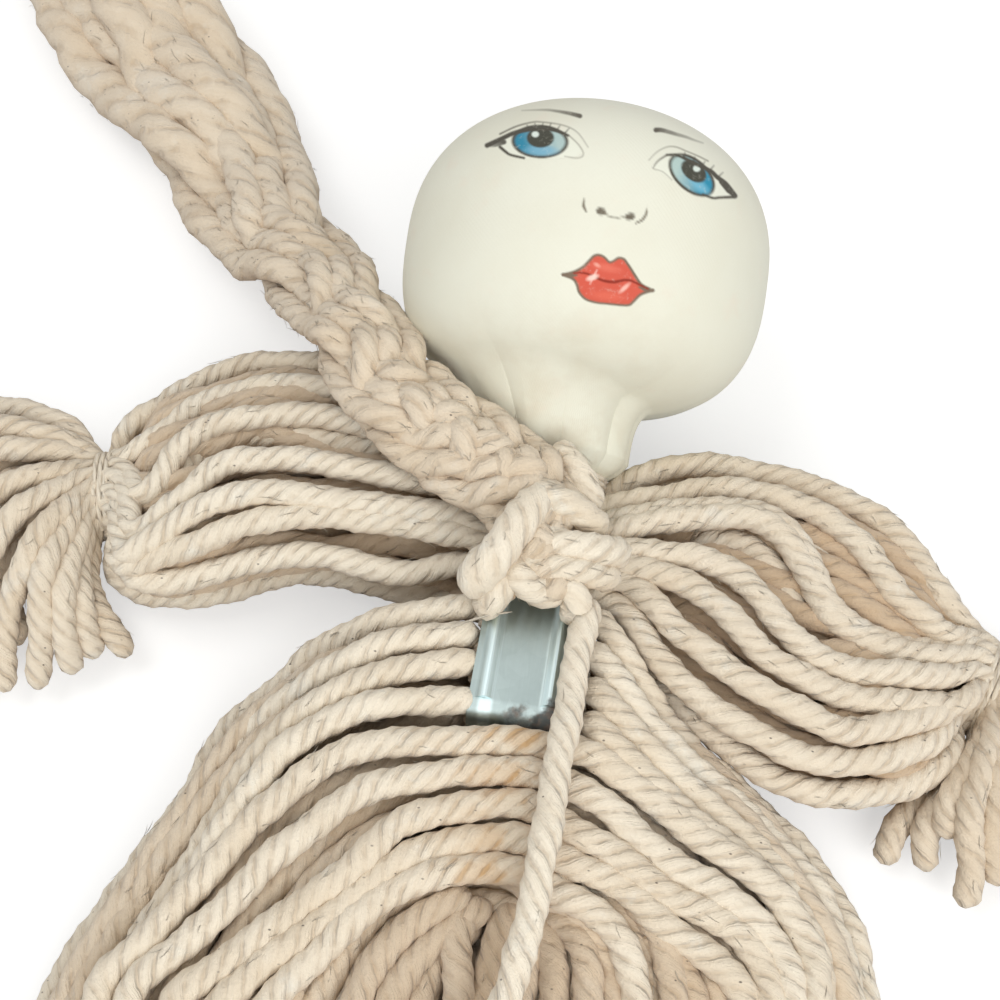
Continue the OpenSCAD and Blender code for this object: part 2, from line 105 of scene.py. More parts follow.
def along_curve(points: Strand, at: Array) -> Array:
    """Work out a smooth curve: a cubic between each two rows, steered by the rows on both sides.

    Args:
        points: Rows that the curve passes through.
        at: Places on the curve, from 0 at the first row to the row count less one.

    Returns:
        One row of numbers for each place.
    """
    p = np.asarray(points, float)
    i = np.clip(np.floor(at).astype(int), 0, len(p) - 2)
    t = (at - i)[..., None]
    a, b, c, d = (p[np.clip(i + k, 0, len(p) - 1)] for k in (-1, 0, 1, 2))
    return (2 * b + (c - a) * t + (2 * a - 5 * b + 4 * c - d) * t**2 + (3 * b - a - 3 * c + d) * t**3) / 2


def run_length(path: Array) -> Array:
    """Measure the length from the start of each path to each of its points."""
    steps = np.linalg.norm(np.diff(path, axis=-2), axis=-1)
    return np.concatenate([np.zeros_like(steps[..., :1]), np.cumsum(steps, axis=-1)], axis=-1)


def midline(rows: Array) -> Array:
    """Find the middle between the two edges of each station of a bundle."""
    return (rows[:, :2] + rows[:, 2:4]) / 2


def side_and_top(ahead: Array, up: Triple = NEARLY_UP) -> tuple[Array, Array]:
    """Find the two directions across each step of a path, where the second is as near to up as it can be."""
    side = unit(np.cross(ahead, up))
    return side, np.cross(side, ahead)


def tube_faces(rings: int, sides: int) -> tuple[Array, Array]:
    """Work out the faces of a closed tube: walls between its rings, and caps round a middle point at each end.

    Args:
        rings: Number of rings, whose points come first.
        sides: Points round a ring.

    Returns:
        Corners of the walls, four each, and corners of the caps, three each.
    """
    i = np.arange(sides)
    around = (i + 1) % sides
    row = np.arange(rings - 1)[:, None] * sides
    near, beside = (row + i).ravel(), (row + around).ravel()
    quads = np.stack([near, near + sides, beside + sides, beside], axis=1)
    last, middles = (rings - 1) * sides, rings * sides
    caps = np.concatenate([np.stack([np.full(sides, middles), i, around], axis=1),
                           np.stack([np.full(sides, middles + 1), last + around, last + i], axis=1)])
    return quads, caps


def even_steps(rows: Array, run: Array, count: int) -> Array:
    """Take a number of rows again at equal steps of their run."""
    at = np.linspace(0, run[-1], count)
    return np.stack([np.interp(at, run, column) for column in rows.T], axis=1)


def even_curve(points: Strand, step: float) -> Array:
    """Draw a smooth curve through points, with its own points one step apart.

    Args:
        points: Points that the curve passes through.
        step: Distance between the new points.

    Returns:
        The new points.
    """
    dense = along_curve(points, np.linspace(0, len(points) - 1, 30 * len(points)))
    run = run_length(dense)
    return even_steps(dense, run, int(run[-1] / step) + 1)


def soft_line(points: Strand, step: float) -> Array:
    """Draw straight runs between points and average them along the run with a bell curve.

    Args:
        points: Points that the line passes near.
        step: Distance between the points of the new line.

    Returns:
        The new line, with the same two ends.
    """
    fine, soft = 0.5, 2.6
    p = np.asarray(points, float)
    run = run_length(p)
    line = even_steps(p, run, int(run[-1] / fine))
    reach = int(3 * soft / fine)
    bell = np.exp(-0.5 * (np.arange(-reach, reach + 1) * fine / soft) ** 2)
    padded = np.concatenate([2 * line[0] - line[reach:0:-1], line, 2 * line[-1] - line[-2:-reach - 2:-1]])
    smooth = np.stack([np.convolve(column, bell / bell.sum(), "same") for column in padded.T], axis=1)
    inside = smooth[reach:reach + len(line)]
    return even_steps(inside, run_length(inside), int(run[-1] / step) + 1)


def wander(rng: np.random.Generator, yarns: int, steps: int, waves: float) -> Array:
    """Make smooth noise between about -1 and 1: a sum of three sines with chance phases for each yarn.

    Args:
        rng: Seeded source of chance.
        yarns: Number of rows.
        steps: Number of places along each row.
        waves: Number of the longest waves along a row.

    Returns:
        Array of yarns by steps.
    """
    t = np.linspace(0, 1, steps)
    out = np.zeros((yarns, steps))
    for k, size in ((1.0, 0.55), (1.9, 0.3), (3.1, 0.15)):
        rate = waves * k * rng.uniform(0.8, 1.2, (yarns, 1))
        out += size * np.sin(2 * np.pi * (rate * t + rng.uniform(0, 1, (yarns, 1))))
    return out


def make_mesh(name: str, points: Array, corners: Array, sizes: Array, uv: Array | None = None,
              marks: dict[str, Array] | None = None) -> Piece:
    """Put arrays into a smooth mesh object at the origin.

    Args:
        name: Name of the object.
        points: Vertices in millimetres.
        corners: Vertex of each face corner, face after face.
        sizes: Number of corners of each face.
        uv: Two numbers for each corner.
        marks: Named numbers for each vertex that materials read.

    Returns:
        The object, linked to the scene.
    """
    mesh = bpy.data.meshes.new(name)
    mesh.vertices.add(len(points))
    mesh.vertices.foreach_set("co", (np.asarray(points) * MM).astype(np.float32).ravel())
    mesh.loops.add(len(corners))
    mesh.loops.foreach_set("vertex_index", np.asarray(corners, np.int32))
    mesh.polygons.add(len(sizes))
    starts = np.concatenate([[0], np.cumsum(sizes)[:-1]]).astype(np.int32)
    mesh.polygons.foreach_set("loop_start", starts)
    mesh.polygons.foreach_set("loop_total", np.asarray(sizes, np.int32))
    mesh.polygons.foreach_set("use_smooth", np.ones(len(sizes), bool))
    if uv is not None:
        layer = mesh.uv_layers.new(name="run")
        layer.data.foreach_set("uv", np.asarray(uv, np.float32).ravel())
    for key, values in (marks or {}).items():
        mesh.attributes.new(key, "FLOAT", "POINT").data.foreach_set("value", np.asarray(values, np.float32))
    mesh.update(calc_edges=True)
    mesh.validate()
    obj = bpy.data.objects.new(name, mesh)
    bpy.context.scene.collection.objects.link(obj)
    LOG.info("%s: %d faces", name, len(sizes))
    return obj


class YarnMesh:
    """Gathers yarns and makes one mesh of them.

    A yarn is a round section carried along a path. Its radius falls by depth x (1 - cos(plies x a)) / 2, where a
    is the angle round the yarn less the angle turned so far, so its plies wind round it to the right. Two long
    sine waves of its own make it lumpy, and its ends are round.
    """

    step: float = 1.05  # Distance between the rings of a traced yarn
    plies: int = 4
    stray: float = 0.22  # How far a traced yarn wanders off its line
    pinched: float = 0.68  # Share of its radius that a yarn keeps under a tie

    def __init__(self) -> None:
        """Start with no yarns."""
        self.points: list[Array] = []
        self.corners: list[Array] = []
        self.sizes: list[Array] = []
        self.uv: list[Array] = []
        self.marks: dict[str, list[Array]] = {"tone": [], "shade": [], "stain": []}
        self.count = 0

    def add(self, paths: Array, radius: Array, tone: Array, shade: float | Array = 0.0,
            stain: float | Array = 0.0, sides: int = 12, lumps: float = 0.04, depth: float = 0.11,
            under: float = 0.8) -> None:
        """Add yarns that have equal numbers of rings.

        Args:
            paths: Middle lines, yarns by rings by 3.
            radius: Radius at each ring, yarns by rings.
            tone: One number for each yarn that shifts its colour.
            shade: Painted shade: share by which the yarn's colour goes to a dark brown.
            stain: How stained it is.
            sides: Points round a ring.
            lumps: Height of the lumps, as a share of the radius.
            depth: Depth of the furrows between four plies, as a share of the radius.
            under: How much deeper in shade its underside is.
        """
        rings = paths.shape[1]
        ahead = unit(np.gradient(paths, axis=1))
        side, up = side_and_top(ahead)
        i = np.arange(sides) / sides
        j = np.arange(rings)[:, None]
        own = 31.0 * np.asarray(tone)[:, None, None]
        waves = np.sin(2 * np.pi * (2 * i - 0.13 * j + own)) + np.sin(2 * np.pi * (i + 0.071 * j + 2.3 * own))
        lumpy = 1 + lumps * waves - depth * (1 - np.cos(2 * np.pi * self.plies * (i - j / sides))) / 2
        run = run_length(paths)
        near = np.minimum(np.minimum(run, run[:, -1:] - run) / radius, 1)
        ends = radius * np.sqrt(np.clip(1 - (1 - near) ** 2, 0.1, 1))
        reach = (ends[:, :, None] * lumpy)[..., None]
        angle = 2 * np.pi * i
        spoke = side[:, :, None] * np.cos(angle)[:, None] + up[:, :, None] * np.sin(angle)[:, None]
        # Painted shade: the yarn's own shade, and more on its underside, darkens its colour toward brown
        inside = np.broadcast_to(shade, paths.shape[:2])[..., None]
        below = under * np.clip((0.3 - spoke[..., 2]) / 1.3, 0, 1)
        self.join(paths[:, :, None] + reach * spoke, tone, inside + (1 - inside) * below, stain)

    def fluff(self, paths: Array, radius: Array, share: float, seed: int, stand: float = 1.0) -> None:
        """Add thin fibres to yarns: each leaves along the yarn, and lifts and swings by the square of its run.

        Args:
            paths: Middle lines, yarns by rings by 3.
            radius: Radius at each ring.
            share: Fibres for each ring.
            seed: Seed of their chance.
            stand: How far they stand off the yarn.
        """
        rng = np.random.default_rng(seed)
        yarns, rings = radius.shape
        count = max(1, int(share * yarns * rings))
        margin = min(5, rings // 3)
        y, r = rng.integers(0, yarns, count), rng.integers(margin, rings - margin, count)
        ahead = unit(paths[y, r + 1] - paths[y, r - 1]) * rng.choice([-1.0, 1.0], (count, 1))
        side, up = side_and_top(ahead)
        a = rng.uniform(0, 2 * np.pi, (count, 1))
        spoke = (side * np.cos(a) + up * np.sin(a))[:, None]
        around = (up * np.cos(a) - side * np.sin(a))[:, None]
        s = np.linspace(0, 1, 5)[None, :, None]
        far, lift, swing = (rng.uniform(*span, (count, 1, 1)) for span in ((1.0, 3.2), (0.1, 0.7), (-1.0, 1.0)))
        start = paths[y, r][:, None] + 0.95 * radius[y, r][:, None, None] * spoke
        lines = start + s * far * ahead[:, None] + stand * s**2 * (lift * spoke + swing * around)
        thin = np.broadcast_to(np.linspace(0.075, 0.035, 5), (count, 5))
        self.add(lines, thin, rng.uniform(0, 0.3, count), sides=3, lumps=0.0, depth=0.0, under=0.0)

    def trace(self, lines: Sequence[Strand], diameter: float, seed: int, shade: float = 0.0, rust: float = 0.0,
              pinch: tuple[Array, float] | None = None, fibres: float = 0.3) -> None:
        """Add one yarn along each line of points.

        Args:
            lines: Points of each yarn's middle line.
            diameter: Diameter of the yarns.
            seed: Seed of their chance.
            shade: Painted shade of the yarns, toward a dark brown.
            rust: How stained they are next to the doll's middle line.
            pinch: Place where a tie pinches the yarns and how far from it they grow thin.
            fibres: Fibres for each ring.
        """
        rng = np.random.default_rng(seed)
        for line in lines:
            path = soft_line(line, self.step)
            count = len(path)
            path = path + self.stray * np.stack([wander(rng, 1, count, count / 21)[0] for _ in range(3)], axis=1)
            radius = diameter / 2 * (1 + 0.05 * wander(rng, 1, count, count / 16))
            if pinch is not None:
                far = np.linalg.norm(path - pinch[0], axis=1)
                radius = radius * (self.pinched + (1 - self.pinched) * np.clip((far - 6) / pinch[1], 0, 1))
            stained = rust * np.exp(-((path[:, 0] - 1.0) / 8.0) ** 2)
            yarn_tone = rng.uniform(0, 1, 1)
            self.add(path[None], radius, yarn_tone, shade, stained[None])
            self.fluff(path[None], radius, fibres, int(rng.integers(1, 10**6)))

    def join(self, rings: Array, tone: Array, shade: Array, stain: float | Array = 0.0) -> None:
        """Add closed tubes through rings that turn clockwise about the way the rings follow each other.

        Args:
            rings: Points, tubes by rings by sides by 3.
            tone: One number for each tube.
            shade: Shade of each tube's points, tubes by rings by sides.
            stain: Stain of each tube's rings.
        """
        tubes, count, sides = rings.shape[:3]
        i = np.arange(sides)
        ends = rings[:, [0, -1]].mean(axis=2)
        points = np.concatenate([rings.reshape(tubes, count * sides, 3), ends], axis=1)
        quads, caps = tube_faces(count, sides)
        offsets = self.count + np.arange(tubes)[:, None, None] * points.shape[1]
        turn, share = np.broadcast_arrays(np.arange(count - 1)[:, None] / sides, i / sides)
        low = np.stack([turn, share], axis=-1).reshape(-1, 1, 2)
        step = np.array([[0, 0], [1, 0], [1, 1], [0, 1]]) / sides
        cap_uv = np.stack([np.zeros(6 * sides), np.repeat(np.tile(i / sides, 2), 3)], axis=1)
        self.points.append(points.reshape(-1, 3))
        self.corners += [(quads + offsets).ravel(), (caps + offsets).ravel()]
        self.sizes += [np.full(tubes * len(quads), 4), np.full(tubes * len(caps), 3)]
        self.uv += [np.tile((low + step).reshape(-1, 2), (tubes, 1)), np.tile(cap_uv, (tubes, 1))]
        stained = np.broadcast_to(stain, (tubes, count))[..., None]
        for key, value in (("tone", np.asarray(tone)[:, None, None]), ("shade", shade), ("stain", stained)):
            walls = np.broadcast_to(value, (tubes, count, sides)).reshape(tubes, -1)
            self.marks[key].append(np.concatenate([walls, walls[:, [0, -1]]], axis=1).ravel())
        self.count += tubes * points.shape[1]

    def build(self, name: str) -> Piece:
        """Make the mesh object.

        Args:
            name: Name of the object.

        Returns:
            The object.
        """
        marks = {key: np.concatenate(values) for key, values in self.marks.items()}
        return make_mesh(name, np.concatenate(self.points), np.concatenate(self.corners),
                         np.concatenate(self.sizes), np.concatenate(self.uv), marks)


@dataclass
class Bundle:
    """A bundle of yarns that fills the room between two edge lines."""

    stations: Strand  # Rows of outer x, outer y, inner x, inner y, low z and top z along the bundle
    seed: int
    yarn_d: float = 4.8  # Diameter of a yarn
    spread: float = 1.15  # Room for each outer yarn where the bundle is widest, in diameters
    roundness: float = 0.8  # Power of the section's outline, where 1 is an ellipse and less is squarer
    under: float = 0.6  # The same power for the lower half, which lies flat
    drift: float = 0.35  # How far a yarn wanders sideways, as a share of its room
    sink: float = 0.25  # How far yarns lie below each other at random, in diameters
    waves: float = 1.6  # Number of long waves along a yarn
    trim: Pair = (1.0, 1.0)  # Shares of the length between which the yarns are cut at the far end
    step: float = 1.4  # Distance between the rings of an outer yarn
    shade: float = 0.36  # Painted shade of the outer yarns, which shows dark brown between the traced yarns

    def sections(self, count: int) -> Array:
        """Take the stations at equal steps along the middle of the bundle."""
        dense = along_curve(self.stations, np.linspace(0, len(self.stations) - 1, 40 * len(self.stations)))
        return even_steps(dense, run_length(midline(dense)), count)

    def length(self) -> float:
        """Measure the middle line of the bundle."""
        return float(run_length(midline(self.sections(60)))[-1])

    def outline(self, rows: Array, inset: float, angles: Array) -> Array:
        """Work out the section outlines: half width x cos and half height x sin, each to a power.

        Args:
            rows: Sections of the bundle.
            inset: Distance inside the surface.
            angles: Angles round the section in radians, where a quarter turn is its top.

        Returns:
            Points, sections by angles by 3.
        """
        half = (rows[:, :2] - rows[:, 2:4]) / 2
        wide = np.linalg.norm(half, axis=1, keepdims=True)
        half = half * np.maximum(wide - inset, 0.15 * wide) / wide
        rise = (rows[:, 5:6] - rows[:, 4:5]) / 2
        high = np.maximum(rise - inset, 0.15 * rise)
        across = signed_power(np.cos(angles), self.roundness)
        up = signed_power(np.sin(angles), np.where(np.sin(angles) > 0, self.roundness, self.under))
        flat = midline(rows)[:, None] + half[:, None] * across[None, :, None]
        return np.concatenate([flat, (rows[:, 4:5] + rise + high * up)[..., None]], axis=2)

    def lay(self, rings: int, inset: float, gap: float, rng: np.random.Generator) -> tuple[Array, Array]:
        """Lay yarns round the bundle at equal shares of its outline, where crowded ones sink into layers.

        Args:
            rings: Number of rings on each yarn.
            inset: Depth of the yarns' middles below the surface.
            gap: Room for each yarn where the bundle is widest, in diameters.
            rng: Seeded source of chance.

        Returns:
            Paths, yarns by rings by 3, and radii, yarns by rings.
        """
        rows = self.sections(rings)
        angles = np.linspace(-0.5 * np.pi, 1.5 * np.pi, 121)
        outline = self.outline(rows, inset, angles)
        run = run_length(outline)
        girth = run[:, -1]
        count = max(6, int(round(np.percentile(girth, 85) / (gap * self.yarn_d))))
        share = (np.arange(count)[:, None] + 0.5 + self.drift * wander(rng, count, rings, self.waves)) / count
        target = (share % 1.0) * girth
        index = (run[None] <= target[:, :, None]).sum(axis=2).clip(1, len(angles) - 1)
        ring = np.arange(rings)[None]
        before, after = run[ring, index - 1], run[ring, index]
        part = ((target - before) / np.maximum(after - before, 1e-6))[..., None]
        paths = outline[ring, index - 1] * (1 - part) + outline[ring, index] * part
        room = girth / count
        crowd = np.clip(1 - room / (0.96 * self.yarn_d), 0, 1)
        layers = int(np.ceil(0.96 * self.yarn_d / room.min()))
        layer = rng.permutation(np.arange(count) % max(1, layers))[:, None]
        deep = 0.8 * self.yarn_d * layer * crowd / max(crowd.max(), 1e-6) * (layers > 1)
        deep = deep + self.sink * self.yarn_d * (0.5 + 0.5 * wander(rng, count, rings, self.waves))
        core = np.concatenate([midline(rows), (rows[:, 4:5] + rows[:, 5:6]) / 2], axis=1)
        inward = core[None] - paths
        far = np.linalg.norm(inward, axis=2, keepdims=True)
        paths = paths + inward / np.maximum(far, 1e-6) * np.minimum(deep[..., None], 0.8 * far)
        radius = self.yarn_d / 2 * (1 - 0.16 * crowd) * (1 + 0.05 * wander(rng, count, rings, 5))
        return paths, radius

    def cut(self, paths: Array, radius: Array, rng: np.random.Generator) -> tuple[Array, Array]:
        """Shorten each yarn at its far end by a chance amount and lay its rings out again.

        Args:
            paths: Middle lines, yarns by rings by 3.
            radius: Radius at each ring.
            rng: Seeded source of chance.

        Returns:
            The new paths and radii.
        """
        yarns, rings = radius.shape
        keep = rng.uniform(*self.trim, (yarns, 1))
        at = np.linspace(0, 1, rings)[None] * keep * (rings - 1)
        low = np.floor(at).astype(int).clip(0, rings - 2)
        part = at - low
        row = np.arange(yarns)[:, None]
        new_radius = radius[row, low] * (1 - part) + radius[row, low + 1] * part
        part = part[..., None]
        return paths[row, low] * (1 - part) + paths[row, low + 1] * part, new_radius

    def fill(self, yarn: YarnMesh) -> None:
        """Add the bundle's outer yarns, the plainer yarns under them and its core to a mesh.

        Args:
            yarn: Mesh that takes the yarns.
        """
        rng = np.random.default_rng(self.seed)
        length = self.length()
        rings = int(length / self.step) + 2
        paths, radius = self.cut(*self.lay(rings, self.yarn_d / 2, self.spread, rng), rng)
        yarn.add(paths, radius, rng.uniform(0, 1, len(paths)), shade=self.shade)
        yarn.fluff(paths, radius, 0.15, self.seed + 300)
        coarse = int(length / (1.6 * self.step)) + 2
        inner, thin = self.cut(*self.lay(coarse, 1.3 * self.yarn_d, 1.0, rng), rng)
        # Painted shade: the inner yarns and the core are darker brown, as deep inside the bundle
        yarn.add(inner, thin, rng.uniform(0, 1, len(inner)), shade=0.5, sides=8)
        yarn.join(self.core(max(6, int(length / 5))), np.array([0.5]), shade=0.7)

    def core(self, count: int) -> Array:
        """Work out a closed tube inside the yarns, which fills the bundle.

        Args:
            count: Number of sections.

        Returns:
            One tube's points, 1 by sections by angles by 3.
        """
        rows = self.sections(count)[:max(4, int(count * (1 if self.trim[0] == 1 else self.trim[0] - 0.12)))]
        angles = np.linspace(0, 2 * np.pi, 25)[:-1]
        ahead = np.gradient(midline(rows), axis=0)[0]
        half = rows[0, :2] - rows[0, 2:4]
        if half[1] * ahead[0] - half[0] * ahead[1] > 0:
            angles = angles[::-1]
        return self.outline(rows, 1.8 * self.yarn_d, angles)[None]


def sunk(rows: Strand, edge: float, top: float) -> Array:
    """Draw the rows of a bundle in from its edges and down from its top, to make room for yarns over it.

    Args:
        rows: Stations of a bundle.
        edge: Distance from each edge.
        top: Distance from the top.

    Returns:
        The new stations.
    """
    r = np.array(rows, float)
    across = unit(r[:, :2] - r[:, 2:4])
    r[:, :2] -= across * edge
    r[:, 2:4] += across * edge
    r[:, 5] = np.maximum(r[:, 5] - top, r[:, 4] + 5.0)
    return r


class Graph:
    """Node tree of a material or of the world, with short ways to add its nodes."""

    def __init__(self, owner: Material | bpy.types.World, shader: str = "BsdfPrincipled",
                 output: str = "OutputMaterial") -> None:
        """Start a tree that holds one surface shader.

        Args:
            owner: The material or the world.
            shader: Kind of the shader.
            output: Kind of the output.
        """
        owner.use_nodes = True
        self.owner = owner
        self.tree = owner.node_tree
        self.tree.nodes.clear()
        self.shader = self.node(shader)
        self.tree.links.new(self.shader.outputs[0], self.node(output).inputs[0])

    def set(self, node: bpy.types.Node, sockets: dict[str | int, Any]) -> None:
        """Link each named socket to another socket, or give it a plain value.

        Args:
            node: The node.
            sockets: What each of its inputs gets.
        """
        for key, value in sockets.items():
            if isinstance(value, Socket):
                self.tree.links.new(value, node.inputs[key])
            else:
                node.inputs[key].default_value = value

    def node(self, kind: str, sockets: dict[str | int, Any] | None = None, **settings: Any) -> bpy.types.Node:
        """Add a node.

        Args:
            kind: Blender's name of the node without its prefix.
            sockets: Values or links of its inputs.
            settings: Its other settings.

        Returns:
            The node.
        """
        made = self.tree.nodes.new("ShaderNode" + kind)
        for key, value in settings.items():
            setattr(made, key, value)
        self.set(made, sockets or {})
        return made

    def seen(self) -> Socket:
        """Make a number that is one for rays from the camera and from glossy or clear surfaces."""
        rays = self.node("LightPath").outputs
        shiny = self.math("MAXIMUM", rays["Is Glossy Ray"], rays["Is Transmission Ray"])
        return self.math("MAXIMUM", rays["Is Camera Ray"], shiny)

    def mark(self, name: str) -> Socket:
        """Read a named number of the mesh."""
        return self.node("Attribute", attribute_name=name).outputs["Fac"]

    def place(self) -> Socket:
        """Read Object coordinates."""
        return self.node("TexCoord").outputs["Object"]

    def math(self, operation: str, a: Any, b: Any = 0.0, clamp: bool = False) -> Socket:
        """Work out a number from one or two others."""
        return self.node("Math", {0: a, 1: b}, operation=operation, use_clamp=clamp).outputs[0]

    def plus(self, a: Any, b: Any) -> Socket:
        """Add two numbers."""
        return self.math("ADD", a, b)

    def minus(self, a: Any, b: Any) -> Socket:
        """Take the second number from the first."""
        return self.math("SUBTRACT", a, b)

    def times(self, a: Any, b: Any) -> Socket:
        """Multiply two numbers."""
        return self.math("MULTIPLY", a, b)

    def fit(self, value: Any, low: float, high: float, out_low: float = 0.0,
            out_high: float = 1.0) -> Socket:
        """Carry a range of numbers smoothly onto another range."""
        sockets = {0: value, 1: low, 2: high, 3: out_low, 4: out_high}
        return self.node("MapRange", sockets, interpolation_type="SMOOTHSTEP").outputs[0]

    def mix(self, share: Any, a: Any, b: Any) -> Socket:
        """Mix two colours by a share."""
        return self.node("Mix", {0: share, 6: a, 7: b}, data_type="RGBA").outputs[2]

    def noise(self, at: Any, scale: float, detail: float = 2.0, rough: float = 0.5) -> Socket:
        """Add noise between 0 and 1 at a scale."""
        sockets = {"Vector": at, "Scale": scale, "Detail": detail, "Roughness": rough}
        return self.node("TexNoise", sockets).outputs[0]

    def bump(self, height: Any, distance: float, strength: float) -> Socket:
        """Turn a height into a bent normal."""
        return self.node("Bump", {"Height": height, "Distance": distance, "Strength": strength}).outputs[0]


@dataclass(frozen=True)
class YarnFinish:
    """Unbleached cotton mop yarn: soft cream plies with painted shade in their furrows, pale lint, seed flecks and
    rusty stains.
    """

    name: str
    light: Colour = (0.885, 0.8, 0.65, 1)
    dark: Colour = (0.775, 0.665, 0.505, 1)
    # Painted shade in the furrows between plies
    furrow: Colour = (0.52, 0.385, 0.24, 1)
    lint: Colour = (0.87, 0.835, 0.73, 1)
    # Dark brown of the painted shade that the mesh's shade mark mixes in
    deep: Colour = (0.47, 0.295, 0.145, 1)
    rust: Colour = (0.58, 0.35, 0.15, 1)
    fleck: Colour = (0.09, 0.065, 0.045, 1)
    plies: float = 4.0
    furrow_shade: float = 0.5

    def build(self) -> Material:
        """Make the material.

        Returns:
            A material that reads the yarns' UV map for their plies and Object coordinates for the rest.
        """
        g = Graph(bpy.data.materials.new(self.name))
        place = g.place()
        run = g.node("SeparateXYZ", {0: g.node("UVMap", uv_map="run").outputs[0]})
        turned = g.minus(run.outputs[1], run.outputs[0])
        loose = g.times(g.minus(g.noise(place, 420.0, 2.0), 0.5), 0.4)
        ply = g.plus(g.times(turned, self.plies), loose)
        wide = g.fit(g.math("PINGPONG", ply, 0.5), 0.22, 0.5)
        fine = g.times(g.fit(g.math("PINGPONG", g.times(ply, 2.0), 0.5), 0.25, 0.5), 0.25)
        patchy = g.fit(g.noise(place, 240.0, 2.0), 0.36, 0.62, 0.2, 1.0)
        furrow = g.times(g.math("MAXIMUM", wide, fine), patchy)
        tone = g.mark("tone")
        along = g.times(run.outputs[0], 2.2)
        across = g.times(ply, 5.0)
        streak_at = g.node("CombineXYZ", {0: along, 1: across, 2: g.times(tone, 40.0)}).outputs[0]
        streak = g.noise(streak_at, 1.6, 3.0, 0.6)
        cloud = g.noise(place, 85.0, 3.0, 0.6)
        fluff = g.noise(place, 1700.0, 3.0, 0.7)
        grime = g.plus(g.times(cloud, 0.9), g.times(tone, 0.3))
        colour = g.mix(g.fit(grime, 0.42, 0.95), self.light, self.dark)
        colour = g.mix(g.fit(streak, 0.62, 0.28, 0.0, 0.4), colour, self.dark)
        # Painted shade: the furrows between plies go toward brown
        colour = g.mix(g.times(furrow, self.furrow_shade), colour, self.furrow)
        pale = g.fit(g.noise(place, 120.0, 4.0, 0.65), 0.56, 0.72, 0.0, 0.6)
        colour = g.mix(pale, colour, self.lint)
        soaked = g.times(g.mark("stain"), g.fit(g.noise(place, 210.0, 3.0), 0.32, 0.62))
        rusty = g.times(soaked, g.fit(furrow, 0.0, 0.6, 0.5, 1.0))
        colour = g.mix(rusty, colour, self.rust)
        # Painted shade: mix toward dark brown by the mesh's shade mark
        colour = g.mix(g.mark("shade"), colour, self.deep)
        stretch = {"Vector": place, "Scale": (480.0, 900.0, 600.0), "Rotation": (0.0, 0.0, 0.6)}
        cells = g.node("TexVoronoi", {"Vector": g.node("Mapping", stretch).outputs[0], "Scale": 1.0})
        chance = g.node("SeparateColor", {0: cells.outputs["Color"]}).outputs[0]
        speck = g.times(g.fit(cells.outputs["Distance"], 0.16, 0.06), g.fit(chance, 0.84, 0.97, 0.0, 0.9))
        colour = g.mix(speck, colour, self.fleck)
        height = g.minus(g.times(streak, 0.45), g.times(furrow, 0.8))
        height = g.plus(height, g.times(fluff, 0.5))
        g.set(g.shader, {
            "Base Color": colour, "Roughness": 1.0, "Specular IOR Level": 0.05,
            "Sheen Weight": 0.3, "Sheen Roughness": 0.7, "Normal": g.bump(height, 0.0006, 0.9),
        })
        return g.owner


@dataclass(frozen=True)
class ClothFinish:
    """Fine off-white cotton cloth: a plain weave, a little slubbed and soiled at the neck."""

    name: str
    light: Colour = (0.79, 0.785, 0.665, 1)
    dark: Colour = (0.76, 0.745, 0.615, 1)
    soil_and_shade: Colour = (0.60, 0.52, 0.38, 1)
    blush: Colour = (0.80, 0.69, 0.565, 1)
    thread: float = 0.42

    def build(self) -> Material:
        """Make the material.

        Returns:
            A material that reads the cloth's UV map, in millimetres, for its weave.
        """
        g = Graph(bpy.data.materials.new(self.name))
        place = g.place()
        run = g.node("SeparateXYZ", {0: g.node("UVMap", uv_map="run").outputs[0]})
        rate = math.pi / self.thread
        warp = g.math("SINE", g.times(run.outputs[0], rate))
        weft = g.math("SINE", g.times(run.outputs[1], rate))
        weave = g.times(warp, weft)
        slub = g.noise(place, 900.0, 3.0, 0.7)
        cloud = g.noise(place, 42.0, 3.0, 0.55)
        colour = g.mix(g.fit(cloud, 0.35, 0.75), self.light, self.dark)
        colour = g.mix(g.fit(slub, 0.45, 0.8, 0.0, 0.18), colour, self.dark)
        colour = g.mix(g.fit(g.noise(place, 130.0, 3.0, 0.6), 0.56, 0.76, 0.0, 0.28), colour, self.blush)
        dirt = g.times(g.mark("stain"), g.fit(g.noise(place, 160.0, 4.0, 0.6), 0.35, 0.7))
        colour = g.mix(dirt, colour, self.soil_and_shade)
        ink = g.node("Attribute", attribute_name="ink")
        wear_and_highlight = g.fit(slub, 0.52, 0.85, 1.0, 0.72)
        colour = g.mix(g.times(ink.outputs["Alpha"], wear_and_highlight), colour, ink.outputs["Color"])
        height = g.plus(g.times(weave, 0.5), slub)
        g.set(g.shader, {
            "Base Color": colour, "Roughness": 0.9, "Specular IOR Level": 0.2,
            "Sheen Weight": 0.15, "Sheen Roughness": 0.5, "Normal": g.bump(height, 0.00008, 0.18),
        })
        return g.owner


